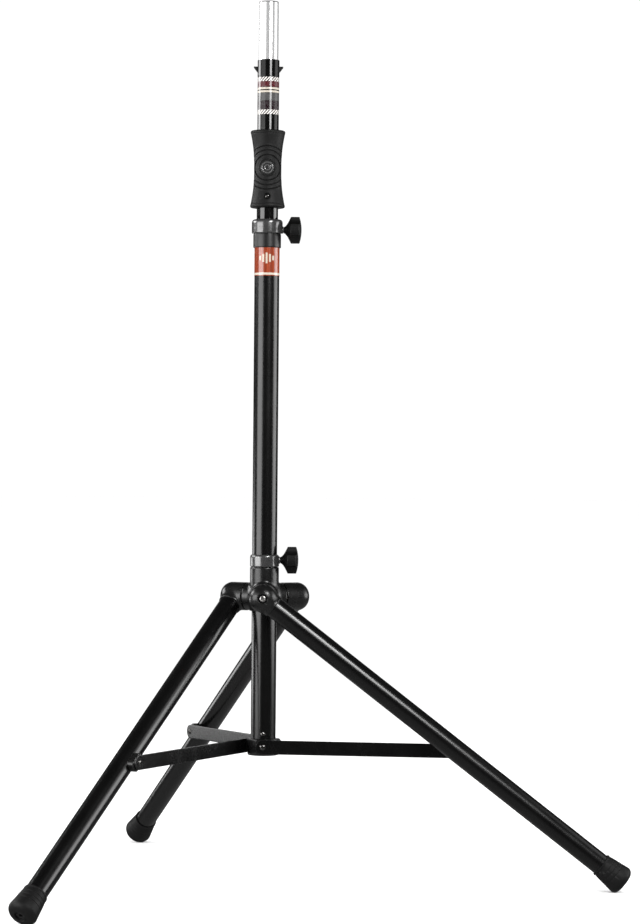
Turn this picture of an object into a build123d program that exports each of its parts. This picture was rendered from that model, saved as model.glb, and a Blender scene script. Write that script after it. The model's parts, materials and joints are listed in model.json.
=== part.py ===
from build123d import *
import os
from math import asin, cos, degrees, hypot, radians, sin

# Speaker tripod stand. The origin is on the floor, on the mast's axis, with +Z up.
# Leg 1 points along +X, and legs 2 and 3 follow at 120 and 240 degrees. Both knobs face +X.
# Each leg hangs beside the mast, on a hub arm at right angles to it, so the layout is a pinwheel.

os.makedirs("parts", exist_ok=True)

# ---- driving dimensions, in mm and degrees ----

# Mast tubes: the outer tube, the inner tube that slides in it, and the speaker spigot
OUTER_R = 22.225
OUTER_WALL = 2.0
INNER_R = 19.05
INNER_WALL = 1.5
SPIGOT_R = 17.5
SPIGOT_FOOT_R = 17.3            # the turned-down foot, inside the sleeve and the inner tube
SPIGOT_WALL = 2.0

# Plays and skins
FIT = 0.05                      # radial play of a running fit
HUB_PLAY = 0.35                 # radial play of the hub on the outer tube
CLAMP_PLAY = 0.4                # radial play of a clamp ring on its tube
SNUG = 0.02                     # radial play of pieces that are fixed to each other
GAP = 0.3                       # play between faces of pieces that move past each other
FILM = 0.2                      # thickness of the band and the label

# Heights above the floor
BASE_BOTTOM = 229.0
OUTER_BOTTOM = 258.3
PLUG_TOP = 290.0
OUTER_TOP = 1150.0
COLLAR_BOTTOM = 1128.3
RING_BOTTOM = 1153.7
RING_TOP = 1178.7
GRIP_BOTTOM = 1199.0
GRIP_TOP = 1336.0
SLEEVE_BOTTOM = 1432.0
SLEEVE_TOP = 1461.4
SPIGOT_TOP = 1564.9
SPIGOT_BOTTOM = 1395.0
SPIGOT_SHOULDER = 1462.4        # where the foot ends and the full width begins
INNER_BOTTOM = 310.0
BAND_BOTTOM = 1078.0
LABEL_BOTTOM = 1364.0
LABEL_TOP = 1430.0
CAP_HIGH = 1.5

# Base fitting
BASE_R = 27.6
BASE_SCREW_Z = 267.0
BASE_SCREW_R = 2.0
BASE_SCREW_HEAD_R = 4.0
SEAT_WIDE = 25.0
SEAT_HIGH = 24.0
BOLT_R = 3.0
BOLT_HEAD_R = 5.2
BOLT_ROOT = 12.2                # from the mast's axis to the screws' tips

# Collar and clamp rings
COLLAR_R = 24.65
UPPER_RING_R = 27.5
HUB_RING_R = 25.75
BOSS_R = 6.2
UPPER_BOSS_END = 28.9           # from the mast's axis
HUB_BOSS_END = 27.6
UPPER_PAD_END = 21.7
HUB_PAD_END = 24.0
PAD_R = 4.6
GRUB_R = 2.0
GRUB_ANGLE = -23.0              # round the mast, from the front

# Hub
HUB_R = 25.7
HUB_BORE_R = 23.4
HUB_BOTTOM = 484.2
HUB_TOP = 563.0
HUB_RING_TOP = 585.0
ARM_R = 25.0
ARM_END = 33.2                  # from the mast's axis
WASHER = 1.0
WASHER_R = 18.0
BUSH_HIGH = 12.0

# Legs
HINGE_Z = 509.17
LEG_OFFSET = 60.36              # from the mast's axis to the vertical plane of a leg
LEAN = radians(37.75)           # a leg's slope below level
LEG_R = 19.05
LEG_WALL = 1.5
COLLAR_END = 25.2               # from the hinge, along the leg
KNUCKLE_COLLAR_R = 21.0
KNUCKLE_OUTER = 86.0            # from the mast's axis
KNUCKLE_ROUND = 20.0            # rounding of the knuckle's outer rim
PLUG_LONG = 38.0                # the knuckle's plug, inside the tube
HINGE_BOLT_R = 5.0
HINGE_HEAD_R = 6.5
HINGE_HEAD_HIGH = 6.0
HINGE_SEAT = 77.0               # from the mast's axis to the bolt head's seat
HINGE_RECESS_R = 8.2
FOOT_R = 26.1
FOOT_CORNER = 12.0
FOOT_LENGTH = 53.0
FOOT_FLOOR = 12.0               # rubber under the tube's end
FOOT_LIP_R = 21.4

# Struts
STRUT_ON_LEG = 437.7            # from the leg's hinge to the strut's bolt
STRUT_PIVOT_Z = 245.0
STRUT_INNER_FACE = 28.5         # from the mast's axis
STRUT_THICK = 3.0
STRUT_HIGH = 25.0
BRACKET_LONG = 32.0
BRACKET_HIGH = 22.0
BRACKET_BACK = 46.0             # from the mast's axis

# Knobs
KNOB_R = 24.4
KNOB_DEPTH = 15.5
KNOB_CROWN = 3.6
KNOB_NECK_R = 5.8
VALLEY_R = 13.0                 # radius of the four valleys between the lobes
VALLEY_OUT = KNOB_R + 7.5       # from the knob's axis to a valley's centre
UPPER_KNOB_Z = 1160.0
UPPER_KNOB_NECK = 29.2          # from the mast's axis
UPPER_KNOB_FACE = 57.4
LOWER_KNOB_Z = 574.6
LOWER_KNOB_NECK = 27.9
LOWER_KNOB_FACE = 56.4
STUD_R = 4.0
STUD_GRIP = 14.0                # length of the stud inside the knob

# Grip
GRIP_END_R = 31.0
GRIP_WAIST_R = 24.0
GRIP_CORNER = 5.0
GRIP_SCREW_Z = 1218.0
GRIP_SHANK_R = 2.0
GRIP_HEAD_R = 4.0
GRIP_HEAD_HIGH = 2.4
GRIP_RECESS_R = 6.0
GRIP_SEAT = 23.0                # from the mast's axis to the screw heads' seats
BADGE_Z = 1269.0
BADGE_R = 12.5
BADGE_PAD_R = 15.0
BADGE_SEAT = 24.4
BADGE_THICK = 1.0

# Gas spring
CYLINDER_R = 11.0
CYLINDER_WALL = 1.5
CYLINDER_FLOOR = 4.0
CYLINDER_TOP = 880.0
GLAND_HIGH = 15.0
GAS_STUD_R = 4.0
GAS_STUD_LONG = 18.0
ROD_R = 5.0
ROD_FOOT_R = 3.0                # where the rod passes through the piston
PISTON_BOTTOM = 316.0
PISTON_HIGH = 12.0
ROD_END_R = 9.0
ROD_END_BOTTOM = 1226.0
ROD_END_TOP = 1252.0
CROSS_PIN_Z = 1240.0
CROSS_PIN_R = 3.0

# Spring-loaded catches in the adapter sleeve
SLEEVE_R = 19.45
CATCH_Z = 1444.8
CATCH_HIGH = 10.0
CATCH_WIDE = 8.0
CATCH_REACH = 26.3              # from the mast's axis
CATCH_NOSE = 1.6                # height of the catch's blunt tip
WINDOW_WIDE = CATCH_WIDE + 0.8
WINDOW_HIGH = CATCH_HIGH + 0.8
FLANGE_INNER = 11.4
FLANGE_OUTER = 13.6
FLANGE_PROUD = 2.0              # how far the flange stands out round the catch
SPRING_TURNS = 7
SPRING_WIRE_R = 0.45
SPRING_R = 3.4

LEGS = (1, 2, 3)
UP = Vector(0, 0, 1)
EAST = Vector(1, 0, 0)

# ---- places worked out from them ----

STRUT_OUT = STRUT_ON_LEG * cos(LEAN)                        # level distance, hinge to strut bolt
STRUT_DROP = STRUT_ON_LEG * sin(LEAN)
STRUT_RISE = HINGE_Z - STRUT_DROP - STRUT_PIVOT_Z           # outer bolt above the inner one
STRUT_LENGTH = hypot(STRUT_OUT, STRUT_RISE)
FOOT_CENTRE = (HINGE_Z - (FOOT_R - FOOT_CORNER) * cos(LEAN) - FOOT_CORNER) / sin(LEAN)
LEG_END = FOOT_CENTRE + FOOT_CORNER
STRUT_OUTER_FACE = STRUT_INNER_FACE + STRUT_THICK
KNUCKLE_INNER = ARM_END + WASHER + GAP
FOLD_TRAVEL = STRUT_ON_LEG + STRUT_LENGTH - (HINGE_Z - STRUT_PIVOT_Z)
BRACKET_FACE = STRUT_OUTER_FACE + 0.5       # clear of the strut, where the linkage is opened
BASE_SEAT = STRUT_INNER_FACE - GAP          # face that a strut turns against
HINGE_HEAD = HINGE_SEAT + GAP               # underside of the hinge bolt's head
GRUB_Z = (HUB_TOP + HUB_RING_TOP) / 2
GRUB_SIDE = Vector(0, -1, 0).rotate(Axis.Z, GRUB_ANGLE)
OUTER_BORE_R = OUTER_R - OUTER_WALL
INNER_BORE_R = INNER_R - INNER_WALL
CYLINDER_BORE_R = CYLINDER_R - CYLINDER_WALL


def spoke(leg):
    """Level direction that a leg points in."""
    return EAST.rotate(Axis.Z, 120 * (leg - 1))


def arm(leg):
    """Level direction of a leg's hinge axis, out from the mast."""
    return Vector(0, -1, 0).rotate(Axis.Z, 120 * (leg - 1))


def facing(direction, reach, height):
    """Upright plane that faces away from the mast, reach mm out along a level direction."""
    return Plane(origin=direction * reach + UP * height, x_dir=UP, z_dir=direction)


def leg_side(leg):
    """Side plane of a leg: origin on its hinge, X down the leg, Y up, Z along the hinge axis."""
    down = spoke(leg) * cos(LEAN) - UP * sin(LEAN)
    return Plane(origin=arm(leg) * LEG_OFFSET + UP * HINGE_Z, x_dir=down, z_dir=arm(leg))


def leg_section(leg, along):
    """Plane square to a leg, along mm from its hinge."""
    side = leg_side(leg)
    return Plane(origin=side.origin + side.x_dir * along, x_dir=side.y_dir, z_dir=side.x_dir)


def finish(piece, name):
    """Label a piece and write it."""
    piece.part.label = name
    export_step(piece.part, f"parts/{name}.step")


def ring(name, outer, inner, bottom, top):
    """Plain ring or tube round the mast's axis."""
    with BuildPart() as piece:
        with BuildSketch(Plane.XY.offset(bottom)):
            Circle(outer)
            Circle(inner, mode=Mode.SUBTRACT)
        extrude(amount=top - bottom)
    finish(piece, name)


# ---- mast ----

def outer_tube():
    """Lower mast tube, with holes for the three base screws."""
    with BuildPart() as tube:
        with BuildSketch(Plane.XY.offset(OUTER_BOTTOM)):
            Circle(OUTER_R)
            Circle(OUTER_BORE_R, mode=Mode.SUBTRACT)
        extrude(amount=OUTER_TOP - OUTER_BOTTOM)
        for leg in LEGS:
            with BuildSketch(facing(arm(leg), 0, BASE_SCREW_Z)):
                Circle(BASE_SCREW_R + SNUG)
            extrude(amount=OUTER_R + 1, mode=Mode.SUBTRACT)
    finish(tube, "outer_tube")


def base_fitting():
    """Cast fitting: a flange with three strut seats, and a plug inside the tube."""
    with BuildPart() as base:
        with BuildSketch(Plane.XY.offset(BASE_BOTTOM)):
            Circle(BASE_R)
        extrude(amount=OUTER_BOTTOM - BASE_BOTTOM)
        for leg in LEGS:
            with BuildSketch(facing(arm(leg), 0, STRUT_PIVOT_Z)):
                RectangleRounded(SEAT_HIGH, SEAT_WIDE, SEAT_HIGH / 4)
            extrude(amount=BASE_SEAT)
        chamfer(base.edges().group_by(Axis.Z)[0], 2)
        with BuildSketch(Plane.XY.offset(OUTER_BOTTOM)):
            Circle(OUTER_BORE_R - SNUG)
        extrude(amount=PLUG_TOP - OUTER_BOTTOM)
        with BuildSketch(Plane.XY.offset(PLUG_TOP)):
            Circle(GAS_STUD_R + SNUG)
        extrude(amount=-GAS_STUD_LONG - 2, mode=Mode.SUBTRACT)
        for leg in LEGS:
            for radius, height in ((BOLT_R, STRUT_PIVOT_Z), (BASE_SCREW_R, BASE_SCREW_Z)):
                with BuildSketch(facing(arm(leg), BOLT_ROOT, height)):
                    Circle(radius)
                extrude(amount=BASE_R, mode=Mode.SUBTRACT)
    finish(base, "base_fitting")


def button_screws(name, height, shank_r, seat, head_r, head_high, socket):
    """Three button-head screws in the base, one on each leg's arm side, as one node."""
    with BuildPart() as screws:
        for leg in LEGS:
            with BuildSketch(facing(arm(leg), BOLT_ROOT, height)):
                Circle(shank_r)
            extrude(amount=seat - BOLT_ROOT)
            with BuildSketch(facing(arm(leg), seat, height)):
                Circle(head_r)
            extrude(amount=head_high, taper=18)
            with BuildSketch(facing(arm(leg), seat + head_high, height)):
                RegularPolygon(socket / 2, 6)
            extrude(amount=-head_high * 0.6, mode=Mode.SUBTRACT)
    finish(screws, name)


def upper_collar():
    """Black collar over the top of the outer tube; its lip covers the tube's end."""
    with BuildPart() as collar:
        with BuildSketch(Plane.XY.offset(COLLAR_BOTTOM)):
            Circle(COLLAR_R)
        extrude(amount=RING_BOTTOM - COLLAR_BOTTOM)
        with BuildSketch(Plane.XY.offset(COLLAR_BOTTOM)):
            Circle(OUTER_R + SNUG)
        extrude(amount=OUTER_TOP - COLLAR_BOTTOM, mode=Mode.SUBTRACT)
        with BuildSketch(Plane.XY.offset(COLLAR_BOTTOM)):
            Circle(INNER_R + CLAMP_PLAY)
        extrude(amount=RING_BOTTOM - COLLAR_BOTTOM, mode=Mode.SUBTRACT)
        chamfer(collar.edges().group_by(Axis.Z)[0].sort_by(SortBy.RADIUS)[-1], 0.8)
    finish(collar, "upper_collar")


def clamp_ring(name, outer, tube_r, bottom, top, knob_z, boss_end, pad_end, shoulder, grub=False):
    """Metal clamp ring with a boss for the knob's stud and a pocket for the brake pad."""
    bore = tube_r + CLAMP_PLAY
    with BuildPart() as clamp:
        with BuildSketch(Plane.XY.offset(bottom)):
            Circle(outer)
        extrude(amount=top - bottom)
        fillet(clamp.edges().group_by(Axis.Z)[-1], shoulder)
        chamfer(clamp.edges().group_by(Axis.Z)[0], 0.8)
        with BuildSketch(facing(EAST, bore, knob_z)):
            Circle(BOSS_R)
        extrude(amount=boss_end - bore)
        with BuildSketch(Plane.XY.offset(bottom)):
            Circle(bore)
        extrude(amount=top - bottom, mode=Mode.SUBTRACT)
        with BuildSketch(facing(EAST, bore - 2, knob_z)):
            Circle(PAD_R + 0.1)
        extrude(amount=pad_end + GAP - bore + 2, mode=Mode.SUBTRACT)
        with BuildSketch(facing(EAST, bore, knob_z)):
            Circle(STUD_R + FIT)
        extrude(amount=boss_end - bore + 1, mode=Mode.SUBTRACT)
        if grub:
            with BuildSketch(facing(GRUB_SIDE, bore - 1, GRUB_Z)):
                Circle(GRUB_R + 0.01)
            extrude(amount=outer, mode=Mode.SUBTRACT)
    finish(clamp, name)


def brake_pad(name, tube_r, pad_end, knob_z):
    """Round brake pad with a hollow face that fits the tube."""
    with BuildPart() as pad:
        with BuildSketch(facing(EAST, tube_r - 2, knob_z)):
            Circle(PAD_R)
        extrude(amount=pad_end - tube_r + 2)
        with BuildSketch(Plane.XY.offset(knob_z - PAD_R - 1)):
            Circle(tube_r)
        extrude(amount=2 * PAD_R + 2, mode=Mode.SUBTRACT)
    finish(pad, name)


def gas_spring_cylinder():
    """Closed cylinder that stands on the base fitting by its stud."""
    with BuildPart() as cylinder:
        with BuildSketch(Plane.XY.offset(PLUG_TOP)):
            Circle(CYLINDER_R)
        extrude(amount=CYLINDER_TOP - PLUG_TOP)
        with BuildSketch(Plane.XY.offset(PLUG_TOP + CYLINDER_FLOOR)):
            Circle(CYLINDER_BORE_R)
        extrude(amount=CYLINDER_TOP - PLUG_TOP - CYLINDER_FLOOR, mode=Mode.SUBTRACT)
        with BuildSketch(Plane.XY.offset(PLUG_TOP)):
            Circle(GAS_STUD_R)
        extrude(amount=-GAS_STUD_LONG)
    finish(cylinder, "gas_spring_cylinder")


# ---- inner mast ----

def inner_tube():
    """Upper mast tube, with cross holes for the gas spring's pin and the grip's screws."""
    with BuildPart() as tube:
        with BuildSketch(Plane.XY.offset(INNER_BOTTOM)):
            Circle(INNER_R)
            Circle(INNER_BORE_R, mode=Mode.SUBTRACT)
        extrude(amount=SLEEVE_BOTTOM - INNER_BOTTOM)
        for height, radius in ((CROSS_PIN_Z, CROSS_PIN_R), (GRIP_SCREW_Z, GRIP_SHANK_R)):
            with BuildSketch(Plane.XZ.offset(-INNER_R - 1)):
                with Locations((0, height)):
                    Circle(radius + SNUG)
            extrude(amount=2 * INNER_R + 2, mode=Mode.SUBTRACT)
    finish(tube, "inner_tube")


def adapter_sleeve():
    """Black sleeve round the foot of the spigot, with a window for each catch."""
    with BuildPart() as sleeve:
        with BuildSketch(Plane.XY.offset(SLEEVE_BOTTOM)):
            Circle(SLEEVE_R)
        extrude(amount=SLEEVE_TOP - SLEEVE_BOTTOM)
        chamfer(sleeve.edges().group_by(Axis.Z)[-1], 0.8)
        with BuildSketch(Plane.XY.offset(SLEEVE_BOTTOM)):
            Circle(SPIGOT_FOOT_R + SNUG)
        extrude(amount=SLEEVE_TOP - SLEEVE_BOTTOM, mode=Mode.SUBTRACT)
        with BuildSketch(Plane.YZ.offset(-SLEEVE_R - 2)):
            with Locations((0, CATCH_Z)):
                Rectangle(WINDOW_WIDE, WINDOW_HIGH)
        extrude(amount=2 * SLEEVE_R + 4, mode=Mode.SUBTRACT)
    finish(sleeve, "adapter_sleeve")


def spigot():
    """Chromed speaker spigot; its foot is turned down where it is inside the sleeve and the tube."""
    with BuildPart() as pole:
        with BuildSketch(Plane.XY.offset(SPIGOT_BOTTOM)):
            Circle(SPIGOT_FOOT_R)
        extrude(amount=SPIGOT_SHOULDER - SPIGOT_BOTTOM)
        with BuildSketch(Plane.XY.offset(SPIGOT_SHOULDER)):
            Circle(SPIGOT_R)
        extrude(amount=SPIGOT_TOP - CAP_HIGH - SPIGOT_SHOULDER)
        with BuildSketch(Plane.XY.offset(SPIGOT_BOTTOM)):
            Circle(SPIGOT_R - SPIGOT_WALL)
        extrude(amount=SPIGOT_TOP - SPIGOT_BOTTOM, mode=Mode.SUBTRACT)
        with BuildSketch(Plane.YZ.offset(-SPIGOT_R - 2)):
            with Locations((0, CATCH_Z)):
                Rectangle(WINDOW_WIDE, WINDOW_HIGH)
        extrude(amount=2 * SPIGOT_R + 4, mode=Mode.SUBTRACT)
    finish(pole, "spigot")


def spigot_cap():
    """Plug in the open end of the spigot."""
    with BuildPart() as cap:
        with BuildSketch(Plane.XY.offset(SPIGOT_TOP - CAP_HIGH)):
            Circle(SPIGOT_R - 0.2)
        extrude(amount=CAP_HIGH)
        fillet(cap.edges().group_by(Axis.Z)[-1], 1.0)
        with BuildSketch(Plane.XY.offset(SPIGOT_TOP - CAP_HIGH)):
            Circle(SPIGOT_R - SPIGOT_WALL - SNUG)
        extrude(amount=-14)
    finish(cap, "spigot_cap")


def catch(side, name):
    """Catch: a wedge that looks out of its window and a flange that stops it inside."""
    top = CATCH_Z + CATCH_HIGH / 2
    bottom = CATCH_Z - CATCH_HIGH / 2
    profile = [(FLANGE_INNER, top), (CATCH_REACH, top), (CATCH_REACH, top - CATCH_NOSE),
               (SLEEVE_R + 0.6, bottom), (FLANGE_INNER, bottom)]
    with BuildPart() as piece:
        with BuildSketch(Plane.XZ.offset(-CATCH_WIDE / 2)):
            with BuildLine():
                Polyline([(side * out, height) for out, height in profile], close=True)
            make_face()
        extrude(amount=CATCH_WIDE)
        with BuildSketch(Plane.YZ.offset(side * FLANGE_INNER)):
            with Locations((0, CATCH_Z)):
                Rectangle(CATCH_WIDE + 2 * FLANGE_PROUD, CATCH_HIGH + 2 * FLANGE_PROUD)
        extrude(amount=side * (FLANGE_OUTER - FLANGE_INNER))
    finish(piece, name)


def catch_spring():
    """Coil spring that pushes the two catches apart."""
    length = 2 * (FLANGE_INNER - SPRING_WIRE_R - FIT)
    start = (-length / 2, 0, CATCH_Z)
    with BuildPart() as spring:
        with BuildLine():
            coil = Helix(length / SPRING_TURNS, length, SPRING_R, center=start, direction=(1, 0, 0))
        with BuildSketch(Plane(origin=coil @ 0, z_dir=coil % 0)):
            Circle(SPRING_WIRE_R)
        sweep()
    finish(spring, "catch_spring")


def grip_half(side, name):
    """Half of the waisted rubber grip: side is -1 at the front and 1 at the back."""
    mid = (GRIP_BOTTOM + GRIP_TOP) / 2
    bore = INNER_R + SNUG
    corner = GRIP_CORNER
    front = Vector(0, side, 0)
    with BuildPart() as half:
        with BuildSketch(Plane.XZ):
            with BuildLine():
                Line((bore, GRIP_BOTTOM), (GRIP_END_R - corner, GRIP_BOTTOM))
                RadiusArc((GRIP_END_R - corner, GRIP_BOTTOM), (GRIP_END_R, GRIP_BOTTOM + corner), -corner)
                ThreePointArc((GRIP_END_R, GRIP_BOTTOM + corner), (GRIP_WAIST_R, mid),
                              (GRIP_END_R, GRIP_TOP - corner))
                RadiusArc((GRIP_END_R, GRIP_TOP - corner), (GRIP_END_R - corner, GRIP_TOP), -corner)
                Line((GRIP_END_R - corner, GRIP_TOP), (bore, GRIP_TOP))
                Line((bore, GRIP_TOP), (bore, GRIP_BOTTOM))
            make_face()
        revolve(axis=Axis.Z, revolution_arc=side * 180)
        if side < 0:
            with BuildSketch(facing(front, INNER_R + 1, BADGE_Z)):
                Circle(BADGE_PAD_R)
            extrude(amount=BADGE_SEAT - INNER_R - 1)
        with BuildSketch(facing(front, GRIP_SEAT, GRIP_SCREW_Z)):
            Circle(GRIP_RECESS_R)
        extrude(amount=GRIP_END_R - GRIP_SEAT, mode=Mode.SUBTRACT)
        with BuildSketch(facing(front, 0, GRIP_SCREW_Z)):
            Circle(GRIP_SHANK_R + SNUG)
        extrude(amount=GRIP_SEAT + 1, mode=Mode.SUBTRACT)
    finish(half, name)


def grip_badge():
    """Plain round badge on the front of the grip."""
    with BuildPart() as badge:
        with BuildSketch(facing(Vector(0, -1, 0), BADGE_SEAT, BADGE_Z)):
            Circle(BADGE_R)
        extrude(amount=BADGE_THICK)
        fillet(badge.faces().sort_by(Axis.Y)[0].edges(), BADGE_THICK / 2)
    finish(badge, "grip_badge")


def grip_screws():
    """Two cross-slotted screws that hold the grip's halves to the inner tube."""
    root = INNER_BORE_R - 1
    slot_long, slot_wide = GRIP_HEAD_R + 0.2, 1.1
    with BuildPart() as screws:
        for side in (-1, 1):
            front = Vector(0, side, 0)
            with BuildSketch(facing(front, root, GRIP_SCREW_Z)):
                Circle(GRIP_SHANK_R)
            extrude(amount=GRIP_SEAT - root)
            with BuildSketch(facing(front, GRIP_SEAT, GRIP_SCREW_Z)):
                Circle(GRIP_HEAD_R)
            extrude(amount=GRIP_HEAD_HIGH, taper=15)
            with BuildSketch(facing(front, GRIP_SEAT + GRIP_HEAD_HIGH, GRIP_SCREW_Z)):
                Rectangle(slot_long, slot_wide)
                Rectangle(slot_wide, slot_long)
            extrude(amount=-GRIP_HEAD_HIGH / 2, mode=Mode.SUBTRACT)
    finish(screws, "grip_screws")


def gas_spring_rod():
    """Polished rod from the piston up to its end fitting."""
    with BuildPart() as rod:
        with BuildSketch(Plane.XY.offset(PISTON_BOTTOM)):
            Circle(ROD_FOOT_R)
        extrude(amount=PISTON_HIGH)
        with BuildSketch(Plane.XY.offset(PISTON_BOTTOM + PISTON_HIGH)):
            Circle(ROD_R)
        extrude(amount=ROD_END_BOTTOM - PISTON_BOTTOM - PISTON_HIGH)
    finish(rod, "gas_spring_rod")


def rod_end():
    """Fitting on the rod, with a cross hole for the pin."""
    with BuildPart() as end:
        with BuildSketch(Plane.XY.offset(ROD_END_BOTTOM)):
            Circle(ROD_END_R)
        extrude(amount=ROD_END_TOP - ROD_END_BOTTOM)
        chamfer(end.edges().group_by(Axis.Z)[0], 2)
        with BuildSketch(Plane.XZ.offset(-ROD_END_R - 1)):
            with Locations((0, CROSS_PIN_Z)):
                Circle(CROSS_PIN_R + SNUG)
        extrude(amount=2 * ROD_END_R + 2, mode=Mode.SUBTRACT)
    finish(end, "rod_end")


def cross_pin():
    """Pin through the inner tube and the rod's end fitting."""
    half = INNER_R - 0.2
    with BuildPart() as pin:
        with BuildSketch(Plane.XZ.offset(-half)):
            with Locations((0, CROSS_PIN_Z)):
                Circle(CROSS_PIN_R)
        extrude(amount=2 * half)
    finish(pin, "cross_pin")


# ---- hub ----

def hub_casting():
    """Sleeve that slides on the mast, with an arm for each leg."""
    with BuildPart() as hub:
        with BuildSketch(Plane.XY.offset(HUB_BOTTOM)):
            Circle(HUB_R)
        extrude(amount=HUB_TOP - HUB_BOTTOM)
        for leg in LEGS:
            with BuildSketch(facing(arm(leg), 0, HINGE_Z)):
                Circle(ARM_R)
            extrude(amount=ARM_END)
        with BuildSketch(Plane.XY.offset(HUB_BOTTOM - 5)):
            Circle(HUB_BORE_R)
        extrude(amount=HUB_TOP - HUB_BOTTOM + 10, mode=Mode.SUBTRACT)
        for leg in LEGS:
            with BuildSketch(facing(arm(leg), 0, HINGE_Z)):
                Circle(HINGE_BOLT_R + 0.01)
            extrude(amount=ARM_END, mode=Mode.SUBTRACT)
    finish(hub, "hub_casting")


def hub_bushes():
    """Two nylon bushes between the hub and the mast, as one node."""
    with BuildPart() as bushes:
        for bottom in (HUB_BOTTOM + 2, HUB_TOP - BUSH_HIGH - 2):
            with BuildSketch(Plane.XY.offset(bottom)):
                Circle(HUB_BORE_R)
                Circle(OUTER_R + HUB_PLAY, mode=Mode.SUBTRACT)
            extrude(amount=BUSH_HIGH)
    finish(bushes, "hub_bushes")


def hub_grub_screw():
    """Grub screw that keeps the hub's clamp ring from turning."""
    with BuildPart() as grub:
        with BuildSketch(facing(GRUB_SIDE, OUTER_R + 2 * CLAMP_PLAY, GRUB_Z)):
            Circle(GRUB_R)
        extrude(amount=2.2)
    finish(grub, "hub_grub_screw")


def hinge_bolts():
    """Three shoulder bolts, fixed in the hub's arms, that the legs turn on."""
    root = HUB_BORE_R + 0.8
    socket_r = HINGE_HEAD_R / 2
    with BuildPart() as bolts:
        for leg in LEGS:
            with BuildSketch(facing(arm(leg), root, HINGE_Z)):
                Circle(HINGE_BOLT_R)
            extrude(amount=HINGE_HEAD - root)
            with BuildSketch(facing(arm(leg), HINGE_HEAD, HINGE_Z)):
                Circle(HINGE_HEAD_R)
            extrude(amount=HINGE_HEAD_HIGH)
            with BuildSketch(facing(arm(leg), HINGE_HEAD + HINGE_HEAD_HIGH, HINGE_Z)):
                RegularPolygon(socket_r, 6)
            extrude(amount=-HINGE_HEAD_HIGH * 0.6, mode=Mode.SUBTRACT)
    finish(bolts, "hinge_bolts")


def hinge_washers():
    """Three friction washers between the hub's arms and the knuckles."""
    with BuildPart() as washers:
        for leg in LEGS:
            with BuildSketch(facing(arm(leg), ARM_END, HINGE_Z)):
                Circle(WASHER_R)
                Circle(HINGE_BOLT_R + SNUG, mode=Mode.SUBTRACT)
            extrude(amount=WASHER)
    finish(washers, "hinge_washers")


# ---- knobs ----

def knob(name, height, neck, face):
    """Four-lobed knob that narrows to a neck; face is how far its rim's face stands out."""
    rim = face - KNOB_DEPTH
    crown = face + KNOB_CROWN
    end_on = Plane(origin=(neck, 0, height), x_dir=(0, 1, 0), z_dir=(1, 0, 0))
    with BuildPart() as piece:
        with BuildSketch(Plane(origin=(0, 0, height), x_dir=(1, 0, 0), z_dir=(0, -1, 0))):
            with BuildLine():
                Line((neck, 0), (neck, KNOB_NECK_R))
                ThreePointArc((neck, KNOB_NECK_R), ((neck + rim) / 2 + 1.5, KNOB_R * 0.56), (rim, KNOB_R - 0.6))
                Line((rim, KNOB_R - 0.6), (rim + 0.6, KNOB_R))
                Line((rim + 0.6, KNOB_R), (face - 1, KNOB_R))
                Line((face - 1, KNOB_R), (face, KNOB_R - 1))
                ThreePointArc((face, KNOB_R - 1), (face + KNOB_CROWN * 0.75, KNOB_R * 0.5), (crown, 0))
                Line((crown, 0), (neck, 0))
            make_face()
        revolve(axis=Axis((0, 0, height), (1, 0, 0)))
        with BuildSketch(end_on):
            with PolarLocations(VALLEY_OUT, 4, start_angle=45):
                Circle(VALLEY_R)
        extrude(amount=crown - neck + 1, mode=Mode.SUBTRACT)
        with BuildSketch(end_on):
            Circle(STUD_R)
        extrude(amount=STUD_GRIP, mode=Mode.SUBTRACT)
    finish(piece, name)


def knob_stud(name, height, pad_end, neck):
    """Threaded stud moulded into a knob, up to the brake pad."""
    tip = pad_end + GAP
    with BuildPart() as stud:
        with BuildSketch(facing(EAST, tip, height)):
            Circle(STUD_R)
        extrude(amount=neck + STUD_GRIP - tip)
        chamfer(stud.faces().sort_by(Axis.X)[0].edges(), 0.6)
    finish(stud, name)


# ---- legs ----

def leg_knuckle(leg):
    """Elbow casting: a domed boss round the hinge, and a collar and plug for the leg tube."""
    side = leg_side(leg)
    with BuildPart() as knuckle:
        with BuildSketch(facing(arm(leg), KNUCKLE_INNER, HINGE_Z)):
            Circle(ARM_R)
        extrude(amount=KNUCKLE_OUTER - KNUCKLE_INNER)
        outer_rim = knuckle.faces().sort_by(Axis(side.origin, side.z_dir))[-1].edges()
        fillet(outer_rim, KNUCKLE_ROUND)
        with BuildSketch(leg_section(leg, 0)):
            Circle(KNUCKLE_COLLAR_R)
        extrude(amount=COLLAR_END)
        with BuildSketch(leg_section(leg, COLLAR_END)):
            Circle(LEG_R - LEG_WALL - SNUG)
        extrude(amount=PLUG_LONG)
        with BuildSketch(facing(arm(leg), HINGE_SEAT, HINGE_Z)):
            Circle(HINGE_RECESS_R)
        extrude(amount=KNUCKLE_OUTER - HINGE_SEAT, mode=Mode.SUBTRACT)
        with BuildSketch(facing(arm(leg), KNUCKLE_INNER, HINGE_Z)):
            Circle(HINGE_BOLT_R + FIT)
        extrude(amount=KNUCKLE_OUTER - KNUCKLE_INNER, mode=Mode.SUBTRACT)
    finish(knuckle, f"leg_{leg}_knuckle")


def leg_tube(leg):
    """Leg tube from the knuckle's collar into the foot."""
    with BuildPart() as tube:
        with BuildSketch(leg_section(leg, COLLAR_END)):
            Circle(LEG_R)
            Circle(LEG_R - LEG_WALL, mode=Mode.SUBTRACT)
        extrude(amount=LEG_END - FOOT_FLOOR - COLLAR_END)
    finish(tube, f"leg_{leg}_tube")


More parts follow.
